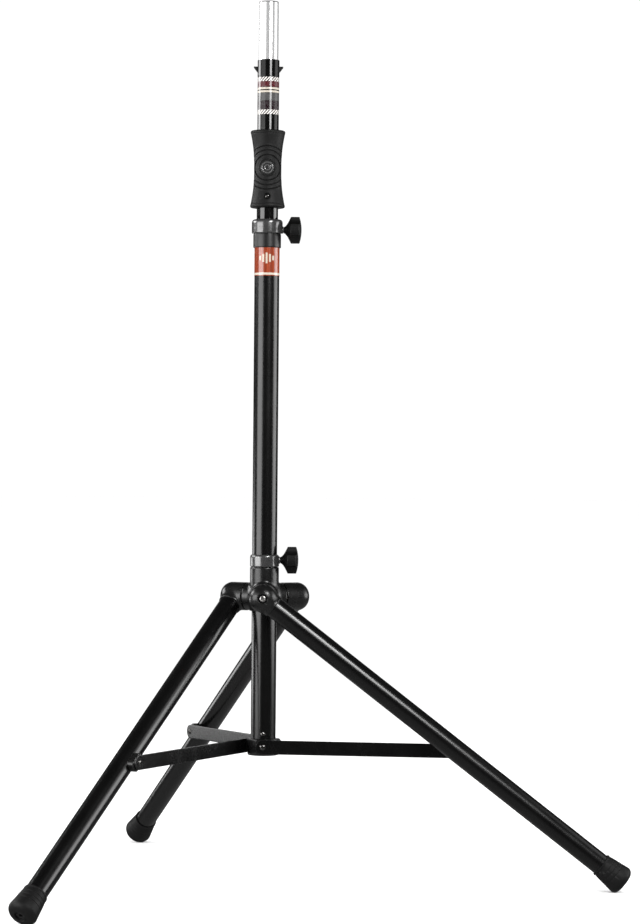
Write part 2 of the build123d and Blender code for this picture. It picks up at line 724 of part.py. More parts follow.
def leg_foot(leg):
    """Flared rubber foot with a rounded end, a lip at its mouth and a round recess."""
    side = leg_side(leg)
    mouth = LEG_END - FOOT_LENGTH
    floor = LEG_END - FOOT_FLOOR
    bore = LEG_R + SNUG
    flat_r = FOOT_R - FOOT_CORNER
    slope = asin((FOOT_R - FOOT_LIP_R) / (FOOT_CENTRE - mouth))
    flare = (FOOT_CENTRE + FOOT_CORNER * sin(slope), flat_r + FOOT_CORNER * cos(slope))
    bulge = (FOOT_CENTRE + FOOT_CORNER * sin(radians(45)), flat_r + FOOT_CORNER * cos(radians(45)))
    with BuildPart() as foot:
        with BuildSketch(side):
            with BuildLine():
                Line((mouth, bore), (mouth, FOOT_LIP_R))
                Line((mouth, FOOT_LIP_R), (mouth + 2.5, FOOT_LIP_R))
                Line((mouth + 2.5, FOOT_LIP_R), (mouth + 3.2, FOOT_LIP_R - 0.4))
                Line((mouth + 3.2, FOOT_LIP_R - 0.4), flare)
                ThreePointArc(flare, bulge, (LEG_END, flat_r))
                Line((LEG_END, flat_r), (LEG_END, 10))
                Line((LEG_END, 10), (LEG_END - 3, 9))
                Line((LEG_END - 3, 9), (LEG_END - 3, 0))
                Line((LEG_END - 3, 0), (floor, 0))
                Line((floor, 0), (floor, bore))
                Line((floor, bore), (mouth, bore))
            make_face()
        revolve(axis=Axis(side.origin, side.x_dir))
    finish(foot, f"leg_{leg}_foot")


def leg_bracket(leg):
    """Saddle on the mast side of a leg tube that the strut is bolted to."""
    side = leg_side(leg)
    with BuildPart() as bracket:
        with BuildSketch(side.offset(BRACKET_FACE - LEG_OFFSET)):
            with Locations((STRUT_ON_LEG, 0)):
                RectangleRounded(BRACKET_LONG, BRACKET_HIGH, BRACKET_LONG / 4)
        extrude(amount=BRACKET_BACK - BRACKET_FACE)
        with BuildSketch(leg_section(leg, STRUT_ON_LEG - BRACKET_LONG)):
            Circle(LEG_R + 0.01)
        extrude(amount=2 * BRACKET_LONG, mode=Mode.SUBTRACT)
    finish(bracket, f"leg_{leg}_bracket")


# ---- struts ----

def strut_plane(leg):
    """Inner face of a strut: origin on its inner bolt, X towards its outer bolt."""
    along = spoke(leg) * STRUT_OUT + UP * STRUT_RISE
    return Plane(origin=arm(leg) * STRUT_INNER_FACE + UP * STRUT_PIVOT_Z, x_dir=along, z_dir=arm(leg))


def strut(leg):
    """Flat bar with round ends and a bolt hole at each."""
    with BuildPart() as bar:
        with BuildSketch(strut_plane(leg)):
            with Locations((STRUT_LENGTH / 2, 0)):
                SlotCenterToCenter(STRUT_LENGTH, STRUT_HIGH)
            with Locations((0, 0), (STRUT_LENGTH, 0)):
                Circle(BOLT_R + FIT, mode=Mode.SUBTRACT)
        extrude(amount=STRUT_THICK)
        edges = bar.edges().filter_by(GeomType.LINE).filter_by(Axis((0, 0, 0), strut_plane(leg).x_dir))
        chamfer(edges, 0.5)
    finish(bar, f"strut_{leg}")


def strut_bolt(leg):
    """Bolt at a strut's outer end, with its head on the mast side."""
    plane = strut_plane(leg)
    centre = Plane(origin=plane.origin + plane.x_dir * STRUT_LENGTH, x_dir=plane.x_dir, z_dir=plane.z_dir)
    with BuildPart() as bolt:
        with BuildSketch(centre):
            Circle(BOLT_R)
        extrude(amount=STRUT_THICK)
        with BuildSketch(centre):
            Circle(BOLT_HEAD_R)
        extrude(amount=-2.3)
        fillet(bolt.faces().sort_by(Axis(centre.origin, centre.z_dir))[0].edges(), 1.0)
    finish(bolt, f"strut_{leg}_bolt")


def mast():
    """The pieces that stand still with the outer tube."""
    outer_tube()
    base_fitting()
    button_screws("base_screws", BASE_SCREW_Z, BASE_SCREW_R - SNUG, OUTER_R + 0.1, BASE_SCREW_HEAD_R, 2.0, 3.0)
    button_screws("strut_base_bolts", STRUT_PIVOT_Z, BOLT_R - SNUG, STRUT_OUTER_FACE + GAP, BOLT_HEAD_R, 2.2, 4.0)
    upper_collar()
    clamp_ring("upper_clamp_ring", UPPER_RING_R, INNER_R, RING_BOTTOM, RING_TOP,
               UPPER_KNOB_Z, UPPER_BOSS_END, UPPER_PAD_END, 3.5)
    brake_pad("upper_brake_pad", INNER_R + FIT, UPPER_PAD_END, UPPER_KNOB_Z)
    ring("upper_bush", OUTER_BORE_R - SNUG, INNER_R + FIT, OUTER_TOP - 50, OUTER_TOP)
    ring("colour_band", OUTER_R + FILM, OUTER_R + SNUG, BAND_BOTTOM, COLLAR_BOTTOM)
    gas_spring_cylinder()
    ring("gas_spring_gland", CYLINDER_BORE_R, ROD_R + FIT, CYLINDER_TOP - GLAND_HIGH, CYLINDER_TOP)


def inner_mast():
    """The pieces that slide up with the inner tube."""
    inner_tube()
    ring("inner_tube_guide", OUTER_BORE_R - 0.08, INNER_R + 0.01, INNER_BOTTOM, INNER_BOTTOM + 40)
    adapter_sleeve()
    spigot()
    spigot_cap()
    ring("caution_label", INNER_R + FILM, INNER_R + SNUG, LABEL_BOTTOM, LABEL_TOP)
    grip_half(-1, "grip_front")
    grip_half(1, "grip_rear")
    grip_badge()
    grip_screws()
    gas_spring_rod()
    ring("gas_spring_piston", CYLINDER_BORE_R - FIT, ROD_FOOT_R, PISTON_BOTTOM, PISTON_BOTTOM + PISTON_HIGH)
    rod_end()
    cross_pin()
    catch(1, "catch_right")
    catch(-1, "catch_left")
    catch_spring()


def hub():
    """The pieces that slide with the hub."""
    hub_casting()
    hub_bushes()
    clamp_ring("hub_clamp_ring", HUB_RING_R, OUTER_R, HUB_TOP, HUB_RING_TOP,
               LOWER_KNOB_Z, HUB_BOSS_END, HUB_PAD_END, 1.5, grub=True)
    brake_pad("hub_brake_pad", OUTER_R + HUB_PLAY, HUB_PAD_END, LOWER_KNOB_Z)
    hub_grub_screw()
    hinge_bolts()
    hinge_washers()


mast()
inner_mast()
hub()
knob("upper_knob", UPPER_KNOB_Z, UPPER_KNOB_NECK, UPPER_KNOB_FACE)
knob_stud("upper_knob_stud", UPPER_KNOB_Z, UPPER_PAD_END, UPPER_KNOB_NECK)
knob("lower_knob", LOWER_KNOB_Z, LOWER_KNOB_NECK, LOWER_KNOB_FACE)
knob_stud("lower_knob_stud", LOWER_KNOB_Z, HUB_PAD_END, LOWER_KNOB_NECK)
for number in LEGS:
    leg_knuckle(number)
    leg_tube(number)
    leg_foot(number)
    leg_bracket(number)
    strut(number)
    strut_bolt(number)

print(f"strut length {STRUT_LENGTH:.2f}, fold travel {FOLD_TRAVEL:.2f}, leg end {LEG_END:.2f}")
print(f"strut turn {90 - degrees(asin(STRUT_RISE / STRUT_LENGTH)):.3f} degrees")
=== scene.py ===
import json
from itertools import product
from math import cos, pi, radians, sin, tan

import bmesh
import bpy
import numpy as np
from mathutils import Matrix, Vector

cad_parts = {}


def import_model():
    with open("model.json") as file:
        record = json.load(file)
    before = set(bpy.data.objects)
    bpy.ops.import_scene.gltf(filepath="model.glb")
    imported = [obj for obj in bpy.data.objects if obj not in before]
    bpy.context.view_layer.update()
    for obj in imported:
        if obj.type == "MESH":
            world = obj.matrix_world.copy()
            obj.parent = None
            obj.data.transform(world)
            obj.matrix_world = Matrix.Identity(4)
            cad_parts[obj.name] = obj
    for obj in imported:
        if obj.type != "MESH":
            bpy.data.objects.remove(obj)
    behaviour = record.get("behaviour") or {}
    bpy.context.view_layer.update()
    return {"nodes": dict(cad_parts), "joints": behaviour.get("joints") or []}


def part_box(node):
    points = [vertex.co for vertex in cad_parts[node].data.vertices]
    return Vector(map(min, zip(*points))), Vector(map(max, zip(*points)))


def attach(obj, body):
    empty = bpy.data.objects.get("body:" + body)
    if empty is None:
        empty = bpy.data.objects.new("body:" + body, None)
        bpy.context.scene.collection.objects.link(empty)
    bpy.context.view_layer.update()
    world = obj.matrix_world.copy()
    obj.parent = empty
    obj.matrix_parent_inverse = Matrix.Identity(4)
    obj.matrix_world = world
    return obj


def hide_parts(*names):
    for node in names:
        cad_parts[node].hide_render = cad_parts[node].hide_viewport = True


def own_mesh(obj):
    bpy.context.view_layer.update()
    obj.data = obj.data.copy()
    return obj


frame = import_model()

# Shapes are worked out in millimetres, in the frame of the CAD model, and linked in metres.
MM = 0.001
LEGS = (1, 2, 3)
EAST = Vector((1, 0, 0))
SOUTH = Vector((0, -1, 0))
UP = Vector((0, 0, 1))


# ---- places, read from the frame ----

def span(node):
    """Lowest and highest corner of a CAD node, in mm."""
    low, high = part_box(node)
    return low / MM, high / MM


def radius_of(node):
    """Radius of a round node that stands on the mast's axis."""
    low, high = span(node)
    return (high.y - low.y) / 2


def middle(node):
    """Centre of a node's box, in mm."""
    low, high = span(node)
    return (low + high) / 2


def pivot_of(joint):
    """A hinge's place at rest, in mm."""
    found = next(j for j in frame["joints"] if j["name"] == joint)
    return Vector(found["pos_m"]) / MM


def turn(leg):
    """Rotation from leg 1 to another leg."""
    return Matrix.Rotation(radians(120 * (leg - 1)), 4, "Z")


def facing(direction, origin):
    """Local Z along a direction, from an origin in mm."""
    side = UP if abs(direction.z) < 0.5 else EAST
    x_axis = side.cross(direction).normalized()
    axes = (x_axis, direction.cross(x_axis), direction)
    return Matrix.Translation(origin) @ Matrix(axes).transposed().to_4x4()


hinge = pivot_of("leg_1_fold")
strut_pivot = pivot_of("strut_1_fold")
strut_end = middle("strut_1_bolt")
leg_down = Vector((strut_end.x - hinge.x, 0, strut_end.z - hinge.z)).normalized()
leg_up = SOUTH.cross(leg_down)
LEG = Matrix.Translation(hinge) @ Matrix((leg_down, leg_up, SOUTH)).transposed().to_4x4()
LEG_AXIS = facing(leg_down, hinge)


# ---- mesh helpers: a shape is (points in mm, faces) ----

def rounded(corners, steps=6, closed=True):
    """Outline whose corners are (across, along, radius).

    Points beside each rounding keep the shading of long sides straight.
    """
    points = []
    for i, (x, y, radius) in enumerate(corners):
        here = Vector((x, y))
        if radius == 0 or (not closed and i in (0, len(corners) - 1)):
            points.append((x, y))
            continue
        before = Vector(corners[i - 1][:2]) - here
        after = Vector(corners[(i + 1) % len(corners)][:2]) - here
        lengths = before.length, after.length
        before.normalize()
        after.normalize()
        half = before.angle(after) / 2
        setback = radius / tan(half)
        support = setback + 0.5
        centre = here + (before + after).normalized() * radius / sin(half)
        start = here + before * setback - centre
        end = here + after * setback - centre
        if lengths[0] > 2 * support + 1:
            points.append(tuple(here + before * support))
        for k in range(steps + 1):
            points.append(tuple(centre + start.lerp(end, k / steps).normalized() * radius))
        if lengths[1] > 2 * support + 1:
            points.append(tuple(here + after * support))
    return points


def turned(profile, count=96, closed=False, warp=None):
    """Solid of revolution round Z. A profile point is (radius, height), or (half width, height, "hex")."""
    points, rings = [], []
    for reach, height, *hexed in profile:
        if reach == 0:
            points.append((0, 0, height))
            rings.append([len(points) - 1] * count)
            continue
        rings.append([len(points) + k for k in range(count)])
        for k in range(count):
            angle = 2 * pi * k / count
            radius = reach / cos((angle + pi / 6) % (pi / 3) - pi / 6) if hexed else reach
            if warp:
                radius = warp(radius, height, angle)
            points.append((radius * cos(angle), radius * sin(angle), height))
    if closed:
        rings.append(rings[0])
    faces = []
    for lower, upper in zip(rings, rings[1:]):
        for k in range(count):
            n = (k + 1) % count
            faces.append(list(dict.fromkeys((lower[k], lower[n], upper[n], upper[k]))))
    return points, faces


def prism(outline, thickness, edge):
    """Plate with rounded rims: an outline in XY, thickness along Z."""
    size = len(outline)
    points = []
    levels = [(edge + 0.8, 0), (edge, 0), (edge * 0.3, edge * 0.3), (0, edge)]
    levels += [(inset, thickness - height) for inset, height in reversed(levels)]
    for inset, height in levels:
        for k in range(size):
            along = (Vector(outline[(k + 1) % size]) - Vector(outline[k - 1])).normalized()
            points.append((outline[k][0] - along.y * inset, outline[k][1] + along.x * inset, height))
    faces = [[level * size + k, level * size + (k + 1) % size,
              (level + 1) * size + (k + 1) % size, (level + 1) * size + k]
             for level in range(len(levels) - 1) for k in range(size)]
    faces.append(list(range(size - 1, -1, -1)))
    faces.append([(len(levels) - 1) * size + k for k in range(size)])
    return points, faces


def placed(shape, *places):
    """One shape repeated at one or more matrices."""
    points, faces = [], []
    for place in places:
        start = len(points)
        points += [tuple(place @ Vector(p)) for p in shape[0]]
        faces += [[start + i for i in face] for face in shape[1]]
    return points, faces


def together(*shapes):
    """Several shapes as one."""
    points, faces = [], []
    for shape in shapes:
        start = len(points)
        points += list(shape[0])
        faces += [[start + i for i in face] for face in shape[1]]
    return points, faces


def cast(depth, low, high, cell):
    """Closed mesh of the surface where depth, a signed distance in mm, is zero."""
    axes = [np.arange(low[i] - 2 * cell, high[i] + 3 * cell, cell) for i in range(3)]
    inside = depth(np.stack(np.meshgrid(*axes, indexing="ij"), -1)) < 0
    size = [n - 1 for n in inside.shape]
    count = sum(inside[a:a + size[0], b:b + size[1], c:c + size[2]].astype(int)
                for a, b, c in product((0, 1), repeat=3))
    mixed = (count > 0) & (count < 8)
    number = np.full(mixed.shape, -1)
    number[mixed] = np.arange(mixed.sum())
    points = np.array([axis[0] for axis in axes]) + cell * (np.argwhere(mixed) + 0.5)
    nudge = np.eye(3) * 0.02
    for _ in range(6):
        slope = np.stack([(depth(points + n) - depth(points - n)) / 0.04 for n in nudge], -1)
        steepness = np.maximum((slope ** 2).sum(-1), 0.3)
        step = (depth(points) / steepness)[:, None] * slope
        points = points - np.clip(step, -cell, cell)
    faces = []
    for axis in range(3):
        solid = np.moveaxis(inside, axis, 0)
        index = np.moveaxis(number, axis, 0)
        i, j, k = np.nonzero(solid[:-1, 1:-1, 1:-1] != solid[1:, 1:-1, 1:-1])
        quads = np.stack([index[i, j, k], index[i, j + 1, k], index[i, j + 1, k + 1], index[i, j, k + 1]], -1)
        faces += quads.tolist()
    return points.tolist(), faces


def join(a, b, blend):
    """Smooth union of two depths, with a fillet about blend mm wide."""
    share = np.clip(0.5 + 0.5 * (b - a) / blend, 0, 1)
    return b * (1 - share) + a * share - blend * share * (1 - share)


def meet(a, b, blend):
    """Smooth intersection of two depths, with an edge rounded over about blend mm."""
    return -join(-a, -b, blend)


def rod(points, origin, axis):
    """(distance from an axis, distance along it) of points."""
    away = points - np.array(origin)
    along = away @ np.array(axis)
    return np.sqrt(np.maximum((away ** 2).sum(-1) - along ** 2, 0)), along


def mesh_of(name, shape):
    """Smooth-shaded mesh of a shape, with its sharp edges kept."""
    mesh = bpy.data.meshes.new(name)
    mesh.from_pydata([Vector(p) * MM for p in shape[0]], [], shape[1])
    work = bmesh.new()
    work.from_mesh(mesh)
    bmesh.ops.recalc_face_normals(work, faces=work.faces)
    work.to_mesh(mesh)
    work.free()
    mesh.shade_smooth()
    mesh.set_sharp_from_angle(angle=radians(38))
    return mesh


def piece(name, shape, material, body, slot, *nodes):
    """Link a shape as a piece that rides on a CAD body and stands for CAD nodes."""
    made = bpy.data.objects.new(name, mesh_of(name, shape))
    bpy.context.scene.collection.objects.link(made)
    made.data.materials.append(material)
    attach(made, body)
    if nodes:
        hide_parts(*nodes)
    return made


def cut(made, shape):
    """Take a shape out of a piece."""
    tool = bpy.data.objects.new("cutter", mesh_of("cutter", shape))
    bpy.context.scene.collection.objects.link(tool)
    modifier = made.modifiers.new("cut", "BOOLEAN")
    modifier.object = tool
    modifier.solver = "EXACT"
    modifier.operation = "DIFFERENCE"
    view = bpy.context.evaluated_depsgraph_get()
    result = bpy.data.meshes.new_from_object(made.evaluated_get(view))
    made.modifiers.remove(modifier)
    made.data = result
    result.shade_smooth()
    result.set_sharp_from_angle(angle=radians(38))
    bpy.data.objects.remove(tool)


# ---- materials ----

def add(tree, kind, settings=None, **inputs):
    """Shader node with its settings and inputs; an input that is a socket is linked."""
    made = tree.nodes.new("ShaderNode" + kind)
    for key, value in (settings or {}).items():
        setattr(made, key, value)
    for key, value in inputs.items():
        socket = made.inputs[int(key[1:]) if key[0] == "_" else key.replace("_", " ")]
        if isinstance(value, bpy.types.NodeSocket):
            tree.links.new(value, socket)
        else:
            socket.default_value = value
    return made


def sums(tree, operation, a, b=0.0, clamp=False):
    """Output of a Math node."""
    return add(tree, "Math", {"operation": operation, "use_clamp": clamp}, _0=a, _1=b).outputs[0]


def mixed_colour(tree, share, first, second):
    """Output of a colour mix: first where share is 0, second where it is 1."""
    made = add(tree, "Mix", {"data_type": "RGBA"})
    for socket, value in zip((made.inputs[0], made.inputs[6], made.inputs[7]), (share, first, second)):
        if isinstance(value, bpy.types.NodeSocket):
            tree.links.new(value, socket)
        else:
            socket.default_value = value
    return made.outputs[2]


def grey(value, warmth=0.0):
    """Neutral colour, a little warmer or cooler."""
    return (value * (1 + warmth), value, value * (1 - warmth), 1)


def finish_of(name, dark, light, rough, grain, relief, metallic=0.0, coat=0.0,
              stretch=(1, 1, 1), mottle=25.0, wear=None, specular=0.5, smears=0.0):
    """Procedural finish: two colours in soft patches, a range of roughness, and fine relief.

    grain is in bumps per metre and relief is their depth in mm. wear is the colour of rubbed edges.
    """
    material = bpy.data.materials.new(name)
    material.use_nodes = True
    tree = material.node_tree
    shader = tree.nodes["Principled BSDF"]
    shader.inputs["Metallic"].default_value = metallic
    shader.inputs["Coat Weight"].default_value = coat
    shader.inputs["Coat Roughness"].default_value = 0.08
    shader.inputs["Specular IOR Level"].default_value = specular
    place = add(tree, "TexCoord").outputs["Object"]
    patches = add(tree, "TexNoise", Vector=place, Scale=mottle, Detail=4.0, Roughness=0.6).outputs["Fac"]
    stretched = add(tree, "Mapping", Vector=place, Scale=stretch).outputs["Vector"]
    fine = add(tree, "TexNoise", Vector=stretched, Scale=grain, Detail=3.0, Roughness=0.55).outputs["Fac"]
    colour = mixed_colour(tree, patches, dark, light)
    level = sums(tree, "ADD", patches, sums(tree, "MULTIPLY", fine, 0.5))
    roughness = add(tree, "MapRange", Value=level, From_Min=0.35, From_Max=1.15,
                    To_Min=rough[0], To_Max=rough[1]).outputs[0]
    if smears:
        marks = add(tree, "TexNoise", Vector=place, Scale=mottle * 0.35, Detail=6.0, Roughness=0.7,
                    Distortion=0.6).outputs["Fac"]
        marks = add(tree, "MapRange", Value=marks, From_Min=0.52, From_Max=0.72,
                    To_Min=0.0, To_Max=smears).outputs[0]
        roughness = sums(tree, "ADD", roughness, marks, clamp=True)
    if wear:
        edges = add(tree, "NewGeometry").outputs["Pointiness"]
        edges = add(tree, "MapRange", Value=edges, From_Min=0.535, From_Max=0.60).outputs[0]
        broken = sums(tree, "MULTIPLY", edges, add(tree, "MapRange", Value=fine, From_Min=0.42,
                                                   From_Max=0.62).outputs[0], clamp=True)
        colour = mixed_colour(tree, broken, colour, wear)
    bump = add(tree, "Bump", Height=fine, Strength=1.0, Distance=relief * MM).outputs["Normal"]
    for socket, value in (("Base Color", colour), ("Roughness", roughness), ("Normal", bump)):
        tree.links.new(value, shader.inputs[socket])
    return material


def around(tree, radius):
    """(arc length in mm from the front, towards +X; height in mm) on the mast's surface."""
    place = add(tree, "SeparateXYZ", Vector=add(tree, "TexCoord").outputs["Object"]).outputs
    back = sums(tree, "MULTIPLY", place[1], -1.0)
    angle = sums(tree, "ARCTAN2", place[0], back)
    return sums(tree, "MULTIPLY", angle, radius), sums(tree, "MULTIPLY", place[2], 1 / MM)


def film(name, tree_colour, specular=0.5):
    """Glossy printed film; tree_colour(tree) returns its printed colour."""
    material = bpy.data.materials.new(name)
    material.use_nodes = True
    tree = material.node_tree
    shader = tree.nodes["Principled BSDF"]
    shader.inputs["Specular IOR Level"].default_value = specular
    place = add(tree, "TexCoord").outputs["Object"]
    scuffs = add(tree, "TexNoise", Vector=place, Scale=180.0, Detail=5.0, Roughness=0.65).outputs["Fac"]
    rough = add(tree, "MapRange", Value=scuffs, From_Min=0.3, From_Max=0.7, To_Min=0.08,
                To_Max=0.18).outputs[0]
    ripple = add(tree, "TexNoise", Vector=place, Scale=90.0, Detail=2.0).outputs["Fac"]
    bump = add(tree, "Bump", Height=ripple, Strength=1.0, Distance=0.05 * MM).outputs["Normal"]
    printed = mixed_colour(tree, sums(tree, "MULTIPLY", scuffs, 0.12), tree_colour(tree), grey(0.0))
    for socket, value in (("Base Color", printed), ("Roughness", rough), ("Normal", bump)):
        tree.links.new(value, shader.inputs[socket])
    return material


BAND_RED = (0.25, 0.046, 0.018, 1)
# BAND_PAINTED_SHADE is a darker copy of BAND_RED: painted shade, laid on the band in faint upright lines
BAND_PAINTED_SHADE = (0.14, 0.021, 0.008, 1)
CREAM = (0.42, 0.38, 0.32, 1)
WHITE = (0.66, 0.63, 0.60, 1)
BAND_LINE = (1.6, 5.4)                  # cream line, from the band's lower edge
LABEL_BANDS = (                         # share of the label's height that each band ends at, and its colour
    (0.120, WHITE), (0.365, (0.007, 0.001, 0.003, 1)), (0.570, grey(0.045)), (0.585, grey(0.004)),
    (0.635, CREAM), (0.670, grey(0.004)), (0.720, CREAM), (0.735, grey(0.004)),
    (0.885, (0.055, 0.004, 0.007, 1)), (1.010, WHITE))
STRIPE_PITCH = 5.6                      # mm, measured round the tube
STRIPES_FROM = 0.382                    # striped beyond this share of the height from the label's middle
PRINT_ROWS = 2.1                        # mm between rows of flecks on the plain bands


def band_print(tree):
    """Red band with faint upright lines of painted shade in a darker copy of its red, and a cream line near
    its lower edge.
    """
    bottom = span("colour_band")[0].z
    arc, height = around(tree, radius_of("colour_band"))
    # painted shade: noise round the tube mixes lines of the darker red into the band's red
    painted_shade_lines = add(tree, "TexNoise", {"noise_dimensions": "1D"}, W=sums(tree, "MULTIPLY", arc, 0.35),
                Scale=1.0, Detail=2.0).outputs["Fac"]
    painted_shade = add(tree, "MapRange", Value=painted_shade_lines, From_Min=0.42, From_Max=0.62).outputs[0]
    red = mixed_colour(tree, painted_shade, BAND_PAINTED_SHADE, BAND_RED)
    above = sums(tree, "GREATER_THAN", height, bottom + BAND_LINE[0])
    below = sums(tree, "LESS_THAN", height, bottom + BAND_LINE[1])
    return mixed_colour(tree, sums(tree, "MULTIPLY", above, below), red, CREAM)


def label_print(tree):
    """Label of plain colour bands between two bands of diagonal stripes."""
    low, high = span("caution_label")
    arc, height = around(tree, radius_of("caution_label"))
    share = sums(tree, "DIVIDE", sums(tree, "SUBTRACT", height, low.z), high.z - low.z)
    colour = LABEL_BANDS[0][1]
    for (start, _), (_, band) in zip(LABEL_BANDS, LABEL_BANDS[1:]):
        colour = mixed_colour(tree, sums(tree, "GREATER_THAN", share, start), colour, band)
    slant = sums(tree, "DIVIDE", sums(tree, "SUBTRACT", arc, height), STRIPE_PITCH)
    stripe = sums(tree, "GREATER_THAN", sums(tree, "FRACT", slant), 0.5)
    from_middle = sums(tree, "ABSOLUTE", sums(tree, "SUBTRACT", share, 0.5))
    at_ends = sums(tree, "GREATER_THAN", from_middle, STRIPES_FROM)
    row = sums(tree, "PINGPONG", height, PRINT_ROWS / 2)
    flecks = add(tree, "TexNoise", Vector=add(tree, "TexCoord").outputs["Object"], Scale=600.0,
                 Detail=1.0).outputs["Fac"]
    flecks = sums(tree, "MULTIPLY", sums(tree, "GREATER_THAN", flecks, 0.5),
                  sums(tree, "GREATER_THAN", row, PRINT_ROWS / 4))
    colour = mixed_colour(tree, sums(tree, "MULTIPLY", flecks, 0.5), colour, grey(0.10))
    return mixed_colour(tree, sums(tree, "MULTIPLY", stripe, at_ends), colour, grey(0.003))


gloss_black = finish_of("gloss_black", grey(0.001), grey(0.003), (0.05, 0.12), 1400, 0.008,
                        mottle=18, coat=0.25, smears=0.04)
paint_black = finish_of("paint_black", grey(0.001), grey(0.002), (0.19, 0.27), 900, 0.02,
                        mottle=14, smears=0.06)
strut_black = finish_of("strut_black", grey(0.0005), grey(0.002), (0.20, 0.29), 1300, 0.03,
                        mottle=30, wear=grey(0.06), smears=0.08)
cast_black = finish_of("cast_black", grey(0.002), grey(0.006), (0.22, 0.34), 650, 0.12,
                       mottle=60, wear=grey(0.09), smears=0.06)
clamp_metal = finish_of("clamp_metal", grey(0.08), grey(0.15), (0.12, 0.24), 420, 0.09,
                        metallic=0.8, mottle=90, wear=grey(0.5), smears=0.10)
satin_chrome = finish_of("satin_chrome", grey(0.88), grey(0.95), (0.08, 0.14), 700, 0.006,
                         metallic=0.78, stretch=(1, 1, 0.03), mottle=20, smears=0.05)
polished_steel = finish_of("polished_steel", grey(0.62), grey(0.75), (0.08, 0.2), 600, 0.01,
                           metallic=1.0, stretch=(1, 1, 0.05), mottle=30)
zinc_steel = finish_of("zinc_steel", grey(0.42, 0.02), grey(0.66, 0.03), (0.22, 0.38), 1500, 0.03,
                       metallic=1.0, mottle=160, wear=grey(0.8))
dark_steel = finish_of("dark_steel", grey(0.10, 0.03), grey(0.20, 0.03), (0.16, 0.28), 1500, 0.02,
                       metallic=1.0, mottle=160, wear=grey(0.5))
black_rubber = finish_of("black_rubber", grey(0.0025), grey(0.005), (0.48, 0.62), 1800, 0.09,
                         mottle=45, wear=grey(0.03), specular=0.22, smears=0.06)
knob_rubber = finish_of("knob_rubber", grey(0.001), grey(0.003), (0.36, 0.50), 1500, 0.06,
                        mottle=70, wear=grey(0.03), specular=0.25)
black_plastic = finish_of("black_plastic", grey(0.003), grey(0.007), (0.30, 0.42), 1200, 0.04,
                          mottle=60, wear=grey(0.05))
sleeve_plastic = finish_of("sleeve_plastic", grey(0.001), grey(0.002), (0.07, 0.14), 1200, 0.02,
                           mottle=60, wear=grey(0.05))
nylon = finish_of("nylon", (0.66, 0.63, 0.56, 1), (0.78, 0.76, 0.70, 1), (0.4, 0.55), 800, 0.03)
brass = finish_of("brass", (0.58, 0.40, 0.14, 1), (0.78, 0.58, 0.25, 1), (0.22, 0.36), 500, 0.02,
                  metallic=1.0, stretch=(1, 1, 0.1))
badge_silver = finish_of("badge_silver", grey(0.36), grey(0.55), (0.16, 0.28), 1500, 0.02,
                         metallic=0.95, mottle=120)
band_film = film("band_film", band_print, 0.8)
label_film = film("label_film", label_print)
cream_film = film("cream_film", lambda tree: mixed_colour(tree, add(
    tree, "TexNoise", Scale=150.0).outputs["Fac"], CREAM, (0.36, 0.31, 0.24, 1)))


# ---- mast ----

def tube(node, edge=0.5, wall=2.0, low_edge=True):
    """Tube on the mast's axis with the node's size and softened ends."""
    low, high = span(node)
    radius = radius_of(node)
    start = edge if low_edge else 0
    corners = [(radius, low.z, start), (radius, high.z, edge),
               (radius - wall, high.z, edge), (radius - wall, low.z, start)]
    return turned(rounded(corners, 3), closed=True)


def mast_pieces():
    """Outer tube, upper collar, colour band and the band's mark."""
    piece("mast_outer", tube("outer_tube"), paint_black, "mast", "black_paint", "outer_tube")
    low, high = span("upper_collar")
    collar, tube_r = radius_of("upper_collar"), radius_of("outer_tube")
    lip = high.z - 3.7
    inner = radius_of("inner_tube") + 0.4
    corners = [(collar - 0.7, low.z, 0.2), (collar, low.z + 1.2, 0.6), (collar, high.z - 2.0, 0.4),
               (collar - 0.6, high.z - 1.4, 0.2), (collar - 0.6, high.z, 0.2), (inner, high.z, 0.2),
               (inner, lip, 0), (tube_r + 0.02, lip, 0), (tube_r + 0.02, low.z, 0.2)]
    piece("mast_collar", turned(rounded(corners, 4), 128, True), black_plastic, "mast",
          "black_plastic", "upper_collar")
    piece("mast_band", tube("colour_band", 0.06, 0.2), band_film, "mast", "band_red", "colour_band")
    band_mark()


def band_mark():
    """Generic mark on the band: five upright bars like a sound meter."""
    low, high = span("colour_band")
    radius = radius_of("colour_band")
    centre = low.z + (high.z - low.z) * 0.62
    width, pitch = 3.4, 6.0
    shapes = []
    for k, tall in enumerate((8, 14, 19, 14, 8)):
        points = []
        for reach, height, step in product((radius - 0.05, radius + 0.06), (-tall / 2, tall / 2), range(5)):
            angle = ((k - 2) * pitch + (step / 4 - 0.5) * width) / radius
            points.append((reach * sin(angle), -reach * cos(angle), centre + height))
        faces = []
        for s in range(4):
            ring = [(s, s + 1), (5 + s, 6 + s), (10 + s, 11 + s), (15 + s, 16 + s)]
            faces += [[ring[a][0], ring[a][1], ring[b][1], ring[b][0]]
                      for a, b in ((0, 1), (1, 3), (3, 2), (2, 0))]
        faces += [[0, 5, 15, 10], [4, 9, 19, 14]]
        shapes.append((points, faces))
    piece("band_mark", together(*shapes), cream_film, "mast", "band_red")


